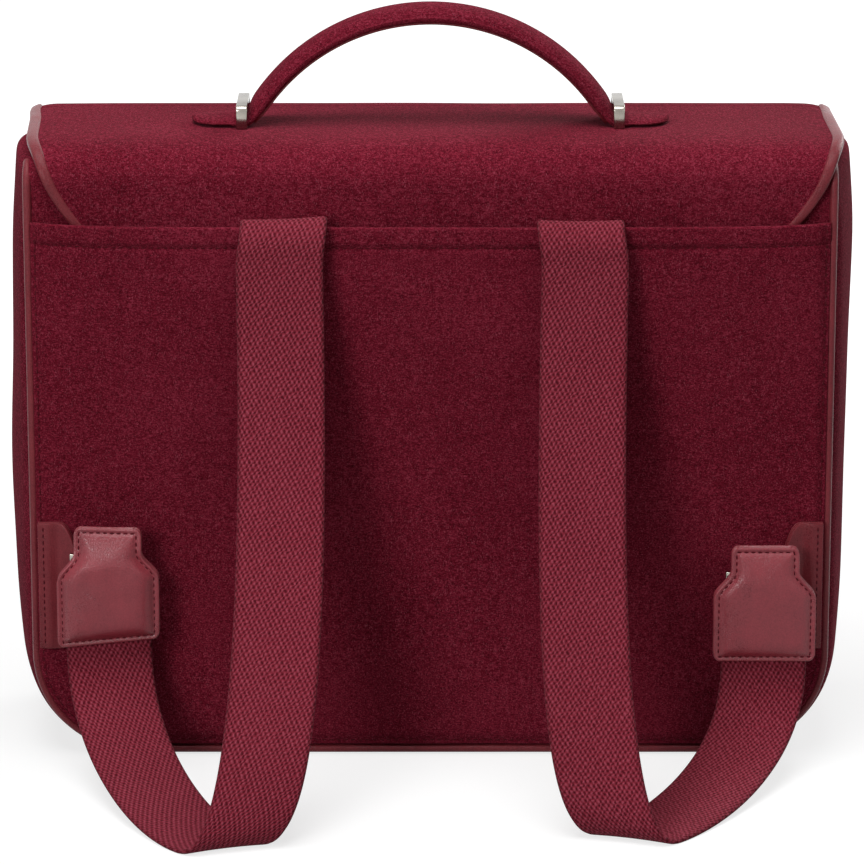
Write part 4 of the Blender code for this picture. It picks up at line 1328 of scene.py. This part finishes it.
def hook(side, centre):
    """A flat snap hook with a thumb gate on its left."""
    outer, inner = HOOK_RADIUS, HOOK_RADIUS - HOOK_BAR
    lower, upper = GATE_TO - 360, GATE_FROM
    half = HOOK_SHANK_WIDTH / 2
    meet = math.degrees(math.asin(half / outer))
    shank_end = -outer - HOOK_SHANK
    wide, tall = HOOK_PLATE[0] / 2, HOOK_PLATE[1]
    foot = [(-half, shank_end), (-wide, shank_end), (-wide, shank_end - tall), (wide, shank_end - tall),
            (wide, shank_end), (half, shank_end)]
    body = [*arc((0, 0), outer, lower, -90 - meet), *foot, *arc((0, 0), outer, meet - 90, upper, 24),
            *arc((0, 0), inner, upper, lower, 28)]
    bm = plate(body, HOOK_METAL, AXES_XZ, centre, HOOK_BEVEL)
    piece("snap_hook_" + side, bm, NICKEL, ["hook_" + side], "strap_" + side, CREASE)
    start, end = GATE_FROM + GATE_TIP_SLACK, GATE_TO - GATE_PIVOT_SLACK
    middle = (start + end) / 2
    lug = [(-outer - GATE_LUG, HOOK_BAR / 2), (-outer - GATE_LUG, -HOOK_BAR / 2)]
    beside_lug = GATE_LUG_HALF_ANGLE
    bar = [*arc((0, 0), outer, start, middle - beside_lug, 4), *lug,
           *arc((0, 0), outer, middle + beside_lug, end, 4), *arc((0, 0), inner, end, start, 8)]
    bm = plate(bar, HOOK_METAL, AXES_XZ, centre, HOOK_BEVEL)
    piece("gate_bar_" + side, bm, NICKEL, ["hook_gate_" + side], "gate_" + side, CREASE)


def anchor(side, sign):
    """A leather strip folded round the D-ring's bar and sewn to the pocket panel, and the ring in it."""
    sleeve = RING_WIRE + GAP
    lay = RING_Y + sleeve
    top = lay - GAP
    knee = ANCHOR_BAR_X + ANCHOR_SLANT
    bend = arc((ANCHOR_BAR_X, RING_Y), sleeve, 90, 270, 12)
    under = line((ANCHOR_EDGE, lay), (knee, lay), 4)[:-1] + line((knee, lay), (ANCHOR_BAR_X, lay), 6)[:-1]
    over = line(bend[-1], (knee, top), 6)[1:] + line((knee, top), (ANCHOR_EDGE, top), 10)[1:]
    path = under + bend + over

    def tall_at(x):
        share = max(0.0, min(1.0, (x - ANCHOR_BAR_X) / ANCHOR_SLANT))
        lost = ANCHOR_HALF_OUTER - ANCHOR_HALF_INNER
        return ANCHOR_HALF_OUTER - lost * (1 - share) ** ANCHOR_SLANT_POWER

    def ridge_at(x):
        return ANCHOR_RIDGE * dent(x - ANCHOR_RIDGE_X, ANCHOR_RIDGE_WIDTH)

    def place(u, v):
        index = index_at(u, path)
        x, y = path[index]
        ridge = ridge_at(x) if index > len(under) + len(bend) else 0.0
        return Vector((sign * x, y - ridge, ANCHOR_Z + (2 * v - 1) * tall_at(x)))

    strip = piece("anchor_leather_" + side, cloth(len(path) - 1, 24, place), EDGE_LEATHER,
                  ["anchor_" + side], "case", LEATHER_CREASE)
    thicken(strip, ANCHOR_LEATHER, sign)
    rounding = strip.modifiers.new("Edge", "BEVEL")
    rounding.width = ANCHOR_BEVEL
    rounding.segments = 2
    face = top - ANCHOR_LEATHER - LEATHER_STITCH_LIFT
    rows = []
    for x in ANCHOR_SEAMS:
        reach = tall_at(x) - ANCHOR_SEAM_END
        y = face - ridge_at(x)
        rows.append([Vector((sign * x, y, ANCHOR_Z + reach * (2 * t - 1))) for t in shares(30)])
    sew("anchor_stitches_" + side, rows, TO_BACK, "case", LEATHER_STITCH_PITCH, ANCHOR_STITCH_SIZE)
    d_ring(side, sign)


def d_ring(side, sign):
    """A round wire bent to a D."""
    bow = [Vector((-RING_REACH * b, 0, RING_HALF_HEIGHT * a)) for a, b in arc((0, 0), 1, 0, 180, 32)]
    bar = [Vector((0, 0, RING_HALF_HEIGHT * (2 * t - 1))) for t in shares(8)[1:-1]]
    loop = bow + bar
    rings = []
    for i, spot in enumerate(loop):
        ahead = (loop[(i + 1) % len(loop)] - loop[i - 1]).normalized()
        out = TO_FRONT.cross(ahead).normalized()
        ring = [spot + out * a + TO_FRONT * b for a, b in arc((0, 0), RING_WIRE, 0, 337.5, 15)]
        rings.append([Vector((sign * (ANCHOR_BAR_X + p.x), RING_Y + p.y, ANCHOR_Z + p.z)) for p in ring])
    piece("ring_wire_" + side, loft(rings, True), NICKEL, ["d_ring_" + side], "ring_" + side)


def floor():
    """A plain white floor that keeps the bag's shadow."""
    bm = bmesh.new()
    bmesh.ops.create_grid(bm, x_segments=1, y_segments=1, size=FLOOR_HALF)
    obj = link("floor", mesh_of("floor", bm))
    made = Finish("floor_white")
    away = made.node("ShaderNodeVectorMath", {"operation": "LENGTH"}, {0: made.place}, "Value")
    level = made.spread(away, FLOOR_GLOW_FROM, FLOOR_GLOW_TO, FLOOR_GLOW, 1.0)
    glow = made.node("ShaderNodeEmission", {}, {"Color": made.seen_directly() * level})
    both = made.node("ShaderNodeAddShader", {}, {0: Wire(made, made.shader.outputs[0]), 1: glow})
    made.feed(made.tree.nodes["Material Output"].inputs["Surface"], both)
    material = made.surface(Base_Color=FLOOR_COLOUR, Roughness=0.9, Specular_IOR_Level=0.0)
    obj.data.materials.append(material)


def soft_light(name, place, size, power):
    lamp = bpy.data.lights.new(name, "AREA")
    lamp.shape = "DISK"
    lamp.size = size
    lamp.energy = power
    obj = link(name, lamp)
    obj.location = place
    obj.rotation_euler = (LIT - Vector(place)).to_track_quat("-Z", "Y").to_euler()


def studio():
    """White surroundings, four soft lamps and the camera at the photograph's view."""
    floor()
    sky = Finish("studio", "worlds", "Background")
    bpy.context.scene.world = sky.owner
    sky.surface(Color=WHITE, Strength=sky.seen_directly() * (1 - WORLD_LIGHT) + WORLD_LIGHT)
    for name, (place, size, power) in LAMPS.items():
        soft_light(name, place, size, power)
    camera = bpy.data.cameras.new("camera")
    camera.sensor_width = CAMERA_SENSOR
    camera.lens = CAMERA_LENS
    obj = link("camera", camera)
    tilt = math.radians(CAMERA_ELEVATION)
    back_off = Vector((0, -math.cos(tilt), math.sin(tilt))) * CAMERA_DISTANCE
    obj.location = CAMERA_TARGET + back_off
    obj.rotation_euler = (math.pi / 2 - tilt, 0, 0)
    bpy.context.scene.camera = obj
    bpy.context.scene.view_settings.view_transform = "Standard"


studio()
panels()
lining()
flap()
handle()
for SIDE, SIGN in SIDES.items():
    strap(SIDE, SIGN)
    tab(SIDE, SIGN)
    anchor(SIDE, SIGN)
